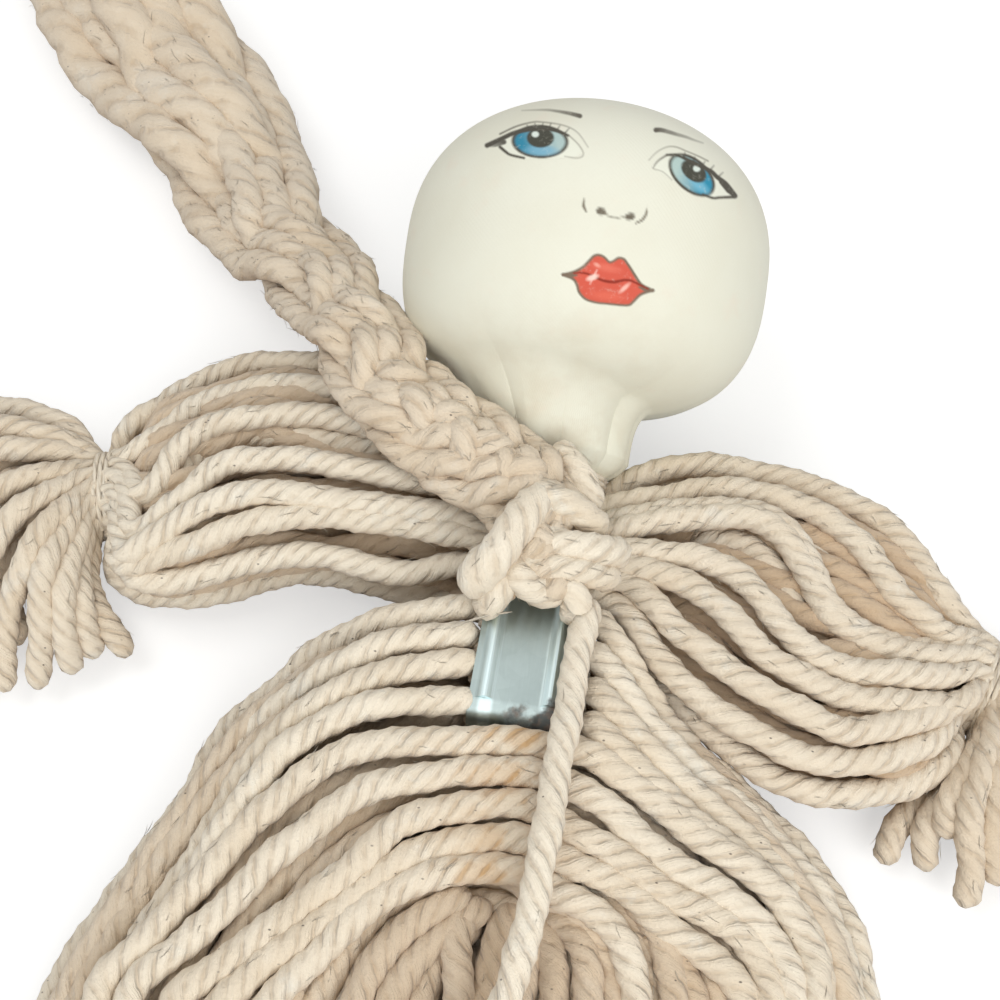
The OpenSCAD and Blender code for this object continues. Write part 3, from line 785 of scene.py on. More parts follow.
@dataclass(frozen=True)
class SteelFinish:
    """Galvanised sheet steel, brushed along the clip, dull with age, soiled at its lower edge, with a painted
    highlight along each rib.
    """

    name: str
    metal: Colour = (0.37, 0.44, 0.43, 1)
    pale: Colour = (0.42, 0.495, 0.485, 1)
    # Pale blue of the painted highlight along the ribs
    wear_and_highlight: Colour = (0.72, 0.85, 0.86, 1)
    dirt: Colour = (0.045, 0.04, 0.035, 1)
    rust: Colour = (0.16, 0.085, 0.05, 1)
    edge_y: float = -0.0202
    # Distance of the ribs' painted highlight from the middle line
    rib_x: float = 0.0048

    def build(self) -> Material:
        """Make the material.

        Returns:
            A material on Object coordinates.
        """
        g = Graph(bpy.data.materials.new(self.name))
        place = g.place()
        axis = g.node("SeparateXYZ", {0: place})
        brushed = g.node("Mapping", {"Vector": place, "Scale": (2600.0, 90.0, 2600.0)}).outputs[0]
        lines = g.noise(brushed, 1.0, 3.0, 0.6)
        spangle = g.node("TexVoronoi", {"Vector": place, "Scale": 320.0}).outputs["Color"]
        crystal = g.node("SeparateColor", {0: spangle}).outputs[0]
        mottle = g.noise(place, 240.0, 4.0, 0.6)
        blend = g.plus(g.times(crystal, 0.25), g.times(mottle, 0.75))
        colour = g.mix(g.fit(blend, 0.25, 0.75), self.metal, self.pale)
        off = g.math("ABSOLUTE", g.minus(g.math("ABSOLUTE", axis.outputs[0]), self.rib_x))
        # Painted highlight: a pale band along each rib
        colour = g.mix(g.fit(off, 0.0015, 0.0006, 0.0, 0.8), colour, self.wear_and_highlight)
        edge = g.plus(axis.outputs[1], g.times(g.minus(mottle, 0.5), 0.009))
        slope = g.plus(edge, g.times(axis.outputs[0], -0.55))
        soiled = g.fit(slope, self.edge_y + 0.0012, self.edge_y - 0.0012, 0.0, 0.85)
        colour = g.mix(soiled, colour, g.mix(g.fit(g.noise(place, 900.0, 2.0), 0.4, 0.7), self.dirt, self.rust))
        rough = g.math("ADD", g.fit(lines, 0.3, 0.7, 0.40, 0.50), g.times(soiled, 0.5), clamp=True)
        g.set(g.shader, {
            "Base Color": colour, "Metallic": g.fit(soiled, 0.0, 1.0, 1.0, 0.1), "Roughness": rough,
            "Normal": g.bump(g.plus(lines, g.times(soiled, mottle)), 0.00006, 0.25),
        })
        return g.owner


def srgb(red: float, green: float, blue: float) -> Triple:
    """Turn a colour of 0 to 255 on screen into the linear numbers that shaders use."""
    v = np.array([red, green, blue]) / 255
    return tuple(float(x) for x in np.where(v <= 0.04045, v / 12.92, ((v + 0.055) / 1.055) ** 2.4))


def dress(obj: Piece, material: Material, slot: Slot) -> None:
    """Give a piece its material."""
    obj.data.materials.append(material)


def carry(obj: Piece, body: str, material: Material, slot: Slot, *nodes: str) -> None:
    """Let a piece move with a body in place of nodes, and dress it.

    Args:
        obj: The piece.
        body: Body that it moves with.
        material: Its finish.
        slot: Slot of that finish; not used.
        nodes: Nodes that it stands for.
    """
    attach(obj, body)
    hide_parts(*nodes)
    dress(obj, material, slot)


def stand(thing: Piece, right: Array, back: Array, at: Triple) -> None:
    """Put a camera or a lamp into the scene, turned to its right and back directions.

    Args:
        thing: The camera or lamp.
        right: Its right direction.
        back: The direction out of its back.
        at: Its place.
    """
    bpy.context.scene.collection.objects.link(thing)
    matrix = np.eye(4)
    matrix[:3] = np.stack([right, np.cross(back, right), back, np.array(at) * MM], axis=1)
    thing.matrix_world = Matrix(matrix.tolist())


@dataclass
class Studio:
    """Camera, pale floor and soft light."""

    eye: Triple = (10.97, -103.4, 222.9)  # Viewpoint
    azimuth: float = 9.0  # Turn of the camera round the doll in degrees
    elevation: float = 58.0  # Height of the camera in degrees
    lens: float = 49.45  # Focal length in millimetres on a 36 mm sensor
    floor: float = 4000.0  # Half the side of the floor
    floor_z: float = -0.5  # Height of the floor, just under the doll

    def axes(self) -> tuple[Array, Array, Array]:
        """Work out the camera's right, up and back directions.

        Returns:
            Three directions.
        """
        turn, rise = math.radians(self.azimuth), math.radians(self.elevation)
        back = np.array([math.cos(rise) * math.sin(turn), -math.cos(rise) * math.cos(turn), math.sin(rise)])
        right = np.array([math.cos(turn), math.sin(turn), 0.0])
        return right, np.cross(back, right), back

    def picture(self, points: Array) -> Array:
        """Find where points lie in a picture 1000 wide from the viewpoint.

        Args:
            points: Places in millimetres.

        Returns:
            Distance from the picture's left edge and from its top edge for each place.
        """
        right, up, back = self.axes()
        d = points - np.array(self.eye)
        scale = self.lens / SENSOR * PICTURE / -(d @ back)
        return np.stack([PICTURE / 2 + scale * (d @ right), PICTURE / 2 - scale * (d @ up)], axis=-1)

    def place_camera(self) -> None:
        """Add the camera and make it the scene's own."""
        data = bpy.data.cameras.new("camera")
        data.lens = self.lens
        data.sensor_width = SENSOR
        data.clip_start = 0.005
        camera = bpy.data.objects.new("camera", data)
        right, _, back = self.axes()
        stand(camera, right, back, self.eye)
        bpy.context.scene.camera = camera

    def lay_floor(self) -> None:
        """Add a pale floor that shows white where light falls and keeps a soft shadow."""
        corners = np.array([[x * self.floor, y * self.floor, self.floor_z]
                            for x, y in ((-1, -1), (1, -1), (1, 1), (-1, 1))])
        floor = make_mesh("floor", corners, np.arange(4), np.array([4]))
        g = Graph(bpy.data.materials.new("floor_white"), "AddShader")
        paint = g.node("BsdfDiffuse", {"Color": (0.62, 0.62, 0.61, 1)})
        glow = g.node("Emission", {"Strength": g.times(g.seen(), 0.52)})
        g.set(g.shader, {0: paint.outputs[0], 1: glow.outputs[0]})
        floor.data.materials.append(g.owner)

    def light(self) -> None:
        """Add a large soft lamp above the doll's right side, a weak one near the camera, and a plain world."""
        for name, place, size, power in (
            ("key", (-340.0, -20.0, 740.0), 420.0, 1.5), ("fill", (300.0, -520.0, 480.0), 600.0, 3.6),
        ):
            lamp = bpy.data.lights.new(name, "AREA")
            lamp.energy = power
            lamp.size = size * MM
            back = unit(np.array(place))
            stand(bpy.data.objects.new(name, lamp), unit(np.cross([0.0, 1.0, 0.0], back)), back, place)
        world = bpy.data.worlds.new("studio")
        g = Graph(world, "Background", "OutputWorld")
        lift = g.node("MapRange", {0: g.seen(), 3: 0.55})
        g.set(g.shader, {"Color": (1, 1, 1, 1), "Strength": lift.outputs[0]})
        bpy.context.scene.world = world
        bpy.context.scene.view_settings.view_transform = "Standard"

    def build(self) -> None:
        """Set up the whole studio."""
        self.place_camera()
        self.lay_floor()
        self.light()


@dataclass(frozen=True)
class Winding:
    """Thread wound round a section: wide x cos + high x sin, each to a power, moving ahead by a pitch each turn."""

    name: str
    radius: float
    turns: int = 3
    pitch: float = 1.0  # Distance between turns
    tone: float = 0.5  # Number that shifts its colour
    roundness: float = 0.85  # Power of the section's outline, where 1 is an ellipse

    def build(self, middle: Array, wide: Array, high: Array, ahead: Array) -> Piece:
        """Make the thread.

        Args:
            middle: Middle of the winding.
            wide: Half width of the section as a vector.
            high: Half height as a vector.
            ahead: Direction of the winding.

        Returns:
            The piece.
        """
        a = np.linspace(0, 2 * np.pi * self.turns, 48 * self.turns)[:, None]
        across, up = (signed_power(wave, self.roundness) for wave in (np.cos(a), np.sin(a)))
        shift = (a / (2 * np.pi) - self.turns / 2) * self.pitch
        path = (middle + wide * across + high * up + ahead * shift)[None]
        thread = YarnMesh()
        thread.add(path, np.full(path.shape[:2], self.radius), np.array([self.tone]), sides=8, lumps=0.0, depth=0.0)
        return thread.build(self.name)


@dataclass
class Plait:
    """Long plait of three flat bands, each of thin yarns side by side.

    Band k swings sideways by swing x sin(q) and rises by hop x weave(q), where q is the turn so far plus a
    third of a turn for each k. weave(q) is (sin 2q + sin 4q / 2), so a band passes over and under twice a turn.
    The length of a turn grows along the plait as an exponential, and so the turns so far are one as well. The
    plait is widest between its middle and the tie.
    """

    # Middle line of the plait from the clip to the tie
    route: tuple[Triple, ...] = (
        (0.5, 1, 32.5), (-0.4, 9, 33.6), (-3.5, 16, 34.2), (-11, 20.5, 34.6), (-19.2, 25.2, 35), (-28.4, 31.6, 35),
        (-35.9, 42.2, 33.8), (-43.9, 54.2, 29.5), (-53.2, 66.5, 23.5), (-62.9, 78.2, 18.5), (-73.3, 92.8, 14.5),
        (-84.3, 108.7, 13.6), (-96.7, 124.7, 14), (-111, 141, 14), (-128.5, 158.8, 13), (-143, 175, 11.4),
    )
    length: float = 235.0  # Length that shares of the plait are taken of
    period: Pair = (27.0, 2.5)  # Length of a turn at the start and the power of e by which it grows to the loose end
    pitch: float = 4.3  # Room of one band
    # Rows of the share of the length and the plait's size there
    sizes: tuple[Pair, ...] = (
        (0, 0.92), (0.05, 0.96), (0.15, 1.08), (0.26, 1.14), (0.4, 1.12), (0.47, 1.12), (0.53, 1.22), (0.6, 1.45),
        (0.67, 1.72), (0.73, 1.95), (0.8, 2.35), (0.87, 2.5), (0.93, 2.1), (1, 1.4),
    )
    swing: float = 0.78  # How far a band swings to each side, in rooms
    yarns: int = 3  # Yarns in a band
    rings: int = 200  # Rings on a yarn
    yarn_d: float = 4.5  # Diameter of a yarn at the start
    spacing: float = 3.5  # Distance between yarns of a band at the start
    fold: float = 26.0  # How far a band stands on edge at the plait's sides, in degrees
    tail: float = 9.0  # Length over which the bands run into the tie
    tassel_span: Pair = (9.5, 31.0)  # Start and end of the tassel, past the end of the route
    tassel_size: Pair = (9.4, 6.6)  # Half width and half height of the tassel
    tie_at: float = 6.8  # Distance of the tie past the end of the route
    tie_size: Pair = (10.9, 8.0)  # Half width and half height of its turns
    body: str = "torso"

    def size(self, s: Array) -> Array:
        """Give the plait's size at shares of its length.

        Args:
            s: Shares of the length.

        Returns:
            A size for each share.
        """
        rows = np.array(self.sizes)
        even = np.linspace(0, 1, 101)
        steps = np.interp(even, rows[:, 0], rows[:, 1])
        for _ in range(25):
            steps[1:-1] = (steps[:-2] + 2 * steps[1:-1] + steps[2:]) / 4
        return np.interp(s, even, steps)

    def turns(self, s: Array) -> Array:
        """Count the turns so far at shares of the length."""
        first, power = self.period
        return self.length / (first * power) * (1 - np.exp(-power * s))

    def middle(self, s: Array) -> tuple[Array, Array, Array, Array]:
        """Find the middle line, its direction, and the plait's side and top directions.

        Args:
            s: Shares of the route, where more than one runs straight on into the tie.

        Returns:
            Four arrays of points or directions.
        """
        last = len(self.route) - 1
        on = np.clip(s, 0, 1)
        ahead = unit(along_curve(self.route, np.minimum(1, on + 0.01) * last)
                     - along_curve(self.route, np.maximum(0, on - 0.01) * last))
        place = along_curve(self.route, on * last) + ahead * (np.maximum(s - 1, 0) * self.length)[:, None]
        return place, ahead, *side_and_top(ahead, UP)

    def bands(self) -> tuple[Array, Array]:
        """Work out the yarns of all three bands.

        Returns:
            Paths, yarns by rings by 3, and radii, yarns by rings.
        """
        rng = np.random.default_rng(21)
        s = np.linspace(0, 1 + self.tail / self.length, 700)
        place, _, side, top = self.middle(s)
        past = np.clip((s - 1) * self.length / self.tail, 0, 1)
        grow = (self.size(np.minimum(s, 1)) * (1 - 0.25 * past ** 2))[:, None]
        paths, radii = [], []
        for k in range(3):
            q = 2 * np.pi * (self.turns(s) + k / 3)[:, None]
            weave = (np.sin(2 * q) + np.sin(4 * q) / 2) / (1.5 * math.sin(math.pi / 3))
            line = place + grow * self.pitch * (self.swing * np.sin(q) * side + 0.6 * weave * top)
            ahead = unit(np.gradient(line, axis=0))
            across = unit(np.cross(top, ahead))
            edge = np.radians(self.fold) * np.sin(q)
            across = across * np.cos(edge) + np.cross(ahead, across) * np.sin(edge)
            sway = wander(rng, self.yarns, len(s), 9)
            lift = wander(rng, self.yarns, len(s), 7)
            for m in range(self.yarns):
                shift = self.spacing * (m - (self.yarns - 1) / 2) + 0.45 * sway[m][:, None]
                yarn = line + grow * (across * shift + np.cross(ahead, across) * 0.5 * lift[m][:, None])
                run = np.cumsum(np.concatenate([[0], np.linalg.norm(np.diff(yarn, axis=0), axis=1)]) / grow[:, 0])
                rows = even_steps(np.concatenate([yarn, grow], axis=1), run, self.rings)
                paths.append(rows[:, :3])
                radii.append(rows[:, 3] * self.yarn_d / 2 * (1 + 0.06 * wander(rng, 1, self.rings, 14)[0]))
        return np.stack(paths), np.stack(radii)

    def tassel(self) -> Piece:
        """Make the cut ends of the yarns past the tie.

        Returns:
            The piece.
        """
        rng = np.random.default_rng(33)
        count, rings = 26, 20
        place, _, side, top = self.middle(1 + np.linspace(*self.tassel_span, rings) / self.length)
        turn, out = rng.uniform(0, 2 * np.pi, count), np.sqrt((np.arange(count) + 0.5) / count)
        across = (out * np.cos(turn))[:, None, None] * self.tassel_size[0] * side
        up = (out * np.sin(turn))[:, None, None] * self.tassel_size[1] * top
        spread = np.linspace(0.84, 1.05, rings)[None, :, None]
        keep = rng.uniform(0.82, 1.0, (count, 1, 1))
        start = place[:1]
        paths = start + (place - start) * keep + (across + up) * spread
        paths = paths + 0.4 * wander(rng, count, rings, 1.0)[..., None] * side
        yarn = YarnMesh()
        yarn.add(paths, np.full((count, rings), 2.2), rng.uniform(0, 1, count), sides=8)
        return yarn.build("plait_tassel_yarns")

    def tie(self) -> Piece:
        """Make the thread wound round the plait's end."""
        place, ahead, side, top = (v[0] for v in self.middle(np.array([1 + self.tie_at / self.length])))
        wide, high = self.tie_size
        return Winding("plait_end_windings", 0.8, turns=4, pitch=1.5).build(place, side * wide, top * high, ahead)

    def build(self, yarn_finish: Material, thread_finish: Material) -> None:
        """Args:
            yarn_finish: Finish of the bands and the tassel.
            thread_finish: Finish of the tie.
        """
        paths, radius = self.bands()
        yarn = YarnMesh()
        # Painted shade on the plait's yarns, strongest on their undersides
        yarn.add(paths, radius, np.random.default_rng(4).uniform(0, 0.7, len(paths)), 0.28, sides=14, lumps=0.05,
                 depth=0.08, under=1.0)
        yarn.fluff(paths, radius, 1.5, 77)
        plait = yarn.build("plait_bands")
        tie, tassel = self.tie(), self.tassel()
        carry(plait, self.body, yarn_finish, Slot.YARN, "plait_strand_a", "plait_strand_b", "plait_strand_c")
        carry(tie, self.body, thread_finish, Slot.THREAD, "plait_end_tie")
        carry(tassel, self.body, yarn_finish, Slot.YARN, "plait_tassel")
        line = even_curve(self.route, 3.0) * MM
        float(run_length(line)[-1])


@dataclass
class LooseYarn:
    """Single yarn that hangs from the plait's start down the front of the skirt."""

    # Middle line of the yarn
    route: tuple[Triple, ...] = (
        (9.4, 0.6, 28), (8.7, -4.4, 28.6), (8.3, -9.8, 28.8), (8.3, -15.9, 29), (8.1, -21.5, 29.6),
        (7.8, -27.8, 30), (7.6, -34.8, 30), (7.4, -41.5, 29.6), (7.1, -48.4, 28.4), (6.3, -55.1, 26.8),
        (5.1, -61.8, 25.2), (-0.6, -73, 24.4), (-2, -85, 23.8), (-3, -97, 23.2), (-3.9, -111, 22.5),
        (-4.8, -125, 21.9), (-5.6, -139, 21.4),
    )
    diameter: float = 4.8
    body: str = "torso"

    def build(self, finish: Material) -> None:
        """Args:
            finish: Finish of the yarn.
        """
        line = even_curve(self.route, YarnMesh.step)
        radius = self.diameter / 2 * (1 + 0.05 * wander(np.random.default_rng(8), 1, len(line), 9))
        yarn = YarnMesh()
        yarn.add(line[None], radius, np.array([0.2]))
        yarn.fluff(line[None], radius, 0.45, 9, 0.4)
        obj = yarn.build("loose_yarn")
        carry(obj, self.body, finish, Slot.YARN, "loose_strand")
        path = line * MM
        float(run_length(path)[-1])


@dataclass
class Arm:
    """One arm: a bundle of yarn from the clip to the wrist, a wound tie, and a hand of loose ends."""

    side: Side
    # Rows of upper edge x and y, lower edge x and y, and top, from the clip to the wrist, where x is the distance
    # from the middle line
    shape: Strand
    wrist: Pair  # Middle of the wrist
    slant: float  # Angle of the tie from Y in degrees
    hand: Strand  # The same rows for the hand
    elbow: float  # Distance of the elbow fold from the middle line
    yarns: Sequence[Strand]  # Points of the yarns that show on the arm
    ends: Sequence[Strand]  # Points of the yarns that show on the hand
    root: Station = (8.3, 22.4, 8.3, 1.7, 1.2, 24.8)  # Station of the arm at the clip
    knot_z: float = 9.1  # Height of the wrist's middle
    tie_at: float = 0.6  # Distance of the tie out of the wrist's middle
    tie_size: Pair = (8.1, 5.9)  # Half width and half height of the tie's turns
    elbow_fold: float = 8.0  # Half the length over which the elbow bends
    wrist_fold: float = 9.0  # Length over which the wrist bends
    soil_and_shade: float = 0.0  # Painted shade on the arm and the hand, for the side in less light
    depth: float = 5.6  # How deep under those yarns the arm's inner yarns lie
    seed: int = 1

    @property
    def name(self) -> str:
        """Name of the side."""
        return self.side.name.lower()

    def mirrored(self, x: float, y: float, u: float, v: float, low: float, top: float) -> list[float]:
        """Put a row on this side of the doll."""
        return [self.side.value * x, y, self.side.value * u, v, low, top]

    def stations(self, rows: Strand) -> list[list[float]]:
        """Turn rows of two edges and a top into stations on this side of the doll."""
        return [self.mirrored(*row[:4], 0.0, row[4]) for row in rows]

    def directions(self) -> tuple[Array, Array]:
        """Work out the direction out of the wrist and the direction across it to the upper edge.

        Returns:
            Two directions.
        """
        turn = math.radians(self.slant)
        sign = self.side.value
        return (np.array([sign * math.cos(turn), -math.sin(turn), 0.0]),
                np.array([sign * math.sin(turn), math.cos(turn), 0.0]))

    def wrist_row(self, at: float, width: float, low: float, top: float) -> list[float]:
        """Make a row across the wrist.

        Args:
            at: Distance out of the wrist's middle.
            width: Width of the bundle there.
            low: Its lowest z.
            top: Its highest z.

        Returns:
            One station of a bundle.
        """
        out, up = self.directions()
        middle = np.array([self.wrist[0] * self.side.value, self.wrist[1], 0.0]) + at * out
        a, b = middle + up * width / 2, middle - up * width / 2
        return [a[0], a[1], b[0], b[1], low, top]

    def build(self, yarn_finish: Material, thread_finish: Material) -> None:
        """Make the arm, the tie and the hand.

        Args:
            yarn_finish: Finish of the arm and the hand.
            thread_finish: Finish of the tie.
        """
        arm_body, hand_body = self.name + "_arm", self.name + "_hand"
        rows = [self.mirrored(*self.root), *self.stations(self.shape)]
        narrow = ((-4, 17, 2.5, 14.5), (-1, 13.5, 4.2, 13.6), (1.2, 13, 4.4, 13.4))
        rows = [*sunk(rows, 1.8, self.depth), *(self.wrist_row(*row) for row in narrow)]
        yarn = YarnMesh()
        # Painted shade: the arm's inner yarns go dark brown, more on the side in less light
        Bundle(rows, seed=self.seed, shade=0.5 + 1.5 * self.soil_and_shade).fill(yarn)
        knot = np.array([self.wrist[0] * self.side.value, self.wrist[1], self.knot_z])
        # Painted shade on the traced yarns of the side in less light
        yarn.trace(self.yarns, 4.8, self.seed + 80, self.soil_and_shade, pinch=(knot, 9.0))
        arm = yarn.build(self.name + "_arm_yarns")
        middle = np.array([self.side.value * self.elbow, sum(self.wrist) * 0.2, 20.0])
        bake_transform(arm)
        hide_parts(self.name + "_upper_arm", self.name + "_forearm")
        dress(arm, yarn_finish, Slot.YARN)

        out, up = self.directions()
        knot = knot + self.tie_at * out
        wide, high = up * self.tie_size[0], np.array(UP) * self.tie_size[1]
        tie = Winding(self.name + "_wrist_windings", 0.5).build(knot, wide, high, out)
        carry(tie, arm_body, thread_finish, Slot.THREAD, self.name + "_wrist_tie")

        rows = [self.wrist_row(0.8, 13, 4.4, 13.4), *sunk(self.stations(self.hand), 3.4, 5.5)]
        ends = YarnMesh()
        Bundle(rows, seed=self.seed + 40, trim=(0.76, 0.92), spread=1.1).fill(ends)
        # Painted shade on the hand's yarns
        ends.trace(self.ends, 4.7, self.seed + 90, self.soil_and_shade + 0.15, pinch=(knot, 6.0))
        hand = ends.build(self.name + "_hand_yarns")
        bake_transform(hand)
        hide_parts(self.name + "_hand_tassel")
        dress(hand, yarn_finish, Slot.YARN)


@dataclass
class Skirt:
    """Skirt of yarn: a lock at each side, rows that turn at the waist and fall on both sides, and a middle lock."""

    right_edge: Strand  # Outer edge of the right lock, x and y from the clip to the hem
    left_edge: Strand  # Outer edge of the left lock
    outer_seam: Strand  # Line between a lock and the rows
    inner_seam: Strand  # Line between the rows and the middle lock
    waist: Pair  # Upper and lower edge of the rows at the middle line
    lock_tops: Sequence[float]  # Heights of the locks
    row_tops: Sequence[float]
    middle_tops: Sequence[float]
    lock_yarns: dict[Side, Sequence[Strand]]  # Points of the yarns that show on the right and the left lock
    row_yarns: Sequence[Strand]  # Points of the rows that show, from hem to hem
    middle_yarns: Sequence[Strand]  # Points of the yarns that show on the middle lock
    root: Station = (8.3, 1.3, 8.3, -20.6, 1.2, 24.8)  # Station of a lock at the clip
    body: str = "torso"

    def lock(self, side: Side, edge: Strand, seed: int) -> Piece:
        """Make the lock of one side.

        Args:
            side: Side of the doll.
            edge: Outer edge of the lock.
            seed: Seed of its chance.

        Returns:
            The piece.
        """
        sign = side.value
        rows = [[sign * self.root[0], self.root[1], sign * self.root[2], *self.root[3:]]]
        rows += [[sign * e[0], e[1], sign * i[0], i[1], 0.0, top]
                 for e, i, top in zip(edge, self.outer_seam, self.lock_tops)]
        yarn = YarnMesh()
        Bundle(sunk(rows, 1.4, 3.5), seed=seed, trim=(0.97, 1.0)).fill(yarn)
        yarn.trace(self.lock_yarns[side], 4.9, seed + 60)
        return yarn.build(f"skirt_{side.name.lower()}_yarns")

    def rows(self) -> Piece:
        """Make the rows that cross the middle line below the clip.

        Returns:
            The piece.
        """
        sides = [[[sign * o[0], o[1], sign * i[0], i[1], 0.0, top]
                  for o, i, top in zip(self.outer_seam, self.inner_seam, self.row_tops)] for sign in (-1, 1)]
        middle = [0.0, self.waist[0], 0.0, self.waist[1], 0.0, self.row_tops[0]]
        yarn = YarnMesh()
        Bundle(sunk(sides[0][::-1] + [middle] + sides[1], -2.5, 3.7), seed=12, roundness=0.55).fill(yarn)
        # A little painted shade on the rows
        yarn.trace(self.row_yarns, 4.9, 66, 0.06, rust=0.95)
        return yarn.build("waist_rows")

    def middle(self) -> Piece:
        """Make the lock that hangs below the rows.

        Returns:
            The piece.
        """
        rows = [[-9.0, -37.0, 9.0, -37.0, 0.0, 14.0], [-10.0, -43.0, 10.0, -43.0, 0.0, 17.0]]
        rows += [[-x, y - 0.8, x, y - 0.8, 0.0, top]
                 for (x, y), top in list(zip(self.inner_seam, self.middle_tops))[1:]]
        yarn = YarnMesh()
        Bundle(sunk(rows, -2.0, 3.4), seed=17, roundness=0.7).fill(yarn)
        # Painted shade on the middle lock's yarns
        yarn.trace(self.middle_yarns, 4.8, 67, shade=0.5)
        return yarn.build("skirt_middle_yarns")

    def build(self, finish: Material) -> None:
        """Make all locks of the skirt.

        Args:
            finish: Finish of the yarns.
        """
        for obj, node in (
            (self.lock(Side.RIGHT, self.right_edge, 5), "skirt_right_lock"),
            (self.lock(Side.LEFT, self.left_edge, 6), "skirt_left_lock"),
            (self.rows(), "waist_loop"), (self.middle(), "skirt_center_lock"),
        ):
            carry(obj, self.body, finish, Slot.YARN, node)


def gap_to_run(at: Array, a: Array, b: Array) -> Array:
    """Measure the distance of places from the straight run between two points.

    Args:
        at: Places in the picture.
        a: Start of the run.
        b: End of the run.

    Returns:
        A distance for each place.
    """
    step = b - a
    t = np.clip((at - a) @ step / max(step @ step, 1e-9), 0, 1)
    return np.linalg.norm(at - a - t[:, None] * step, axis=1)


@dataclass(frozen=True)
class Line:
    """A drawn line of the printed face."""

    points: tuple[Pair, ...]  # Places in the picture that the line passes through
    widths: Triple  # Width at the start, the middle and the end
    colour: Triple = (88, 82, 70)  # Colour on screen, 0 to 255
    strength: Pair = (1.0, 1.0)  # How much of the cloth it covers at the start and the end
    soft: float = 1.6  # Width over which its edges fade

    def cover(self, at: Array) -> Array:
        """Work out how much the line covers places: its half width less the distance from its curve.

        Args:
            at: Places in the picture.

        Returns:
            A share from 0 to 1 for each place.
        """
        count = 6 * (len(self.points) - 1) + 1
        curve = along_curve(self.points, np.linspace(0, len(self.points) - 1, count))
        widths = np.interp(np.linspace(0, 1, count), [0, 0.5, 1], self.widths)
        shares = np.linspace(*self.strength, count)
        best = np.zeros(len(at))
        for a, b, width, share in zip(curve[:-1], curve[1:], widths, shares):
            far = gap_to_run(at, a, b)
            best = np.maximum(best, share * np.clip((width / 2 - far) / self.soft + 0.5, 0, 1))
        return best


@dataclass(frozen=True)
class Spot:
    """An oval of the printed face."""

    middle: Pair  # Its middle in the picture
    half: Pair  # Half its length and half its width
    turn: float = 0.0  # Turn of its length in degrees, clockwise
    colour: Triple = (88, 82, 70)  # Colour on screen, 0 to 255
    strength: float = 1.0  # How much of the cloth it covers
    soft: float = 1.6  # Width over which its edge fades
    fade: Triple | None = None  # Colour on the other side, where the colour changes across it
    toward: float = 0.0  # Direction in which it changes, in degrees clockwise from the right

    def cover(self, at: Array) -> Array:
        """Work out how much the oval covers places: one inside it, falling to none over the soft edge.

        Args:
            at: Places in the picture.

        Returns:
            A share from 0 to 1 for each place.
        """
        turn = math.radians(self.turn)
        d = at - np.array(self.middle)
        along = d[:, 0] * math.cos(turn) + d[:, 1] * math.sin(turn)
        across = d[:, 1] * math.cos(turn) - d[:, 0] * math.sin(turn)
        far = np.hypot(along / self.half[0], across / self.half[1])
        return self.strength * np.clip((1 - far) * min(self.half) / self.soft + 0.5, 0, 1)

    def tint(self, at: Array) -> Array:
        """Work out the colour at places.

        Args:
            at: Places in the picture.

        Returns:
            Red, green and blue for each place.
        """
        base = np.array(srgb(*self.colour))[None]
        if self.fade is None:
            return np.repeat(base, len(at), axis=0)
        turn = math.radians(self.toward)
        d = (at - np.array(self.middle)) @ np.array([math.cos(turn), math.sin(turn)])
        share = np.clip(0.5 + d / (1.3 * self.half[0]), 0, 1)[:, None]
        return base * (1 - share) + np.array(srgb(*self.fade)) * share


@dataclass(frozen=True)
class Patch:
    """A filled outline of the printed face."""

    points: tuple[Pair, ...]  # Its corners in the picture, in order
    colour: Triple  # Colour on screen, 0 to 255
    soft: float = 1.6  # Width over which its edge fades

    def cover(self, at: Array) -> Array:
        """Work out how much the patch covers places, by the count of edges to their right and the nearest edge.

        Args:
            at: Places in the picture.

        Returns:
            A share from 0 to 1 for each place.
        """
        p = np.array(self.points)
        inside = np.zeros(len(at), bool)
        near = np.full(len(at), 1e9)
        for a, b in zip(p, np.roll(p, -1, axis=0)):
            crosses = (a[1] > at[:, 1]) != (b[1] > at[:, 1])
            rise = b[1] - a[1] if abs(b[1] - a[1]) > 1e-9 else 1e-9
            inside ^= crosses & (at[:, 0] < (b[0] - a[0]) * (at[:, 1] - a[1]) / rise + a[0])
            near = np.minimum(near, gap_to_run(at, a, b))
        return np.clip(np.where(inside, near, -near) / self.soft + 0.5, 0, 1)


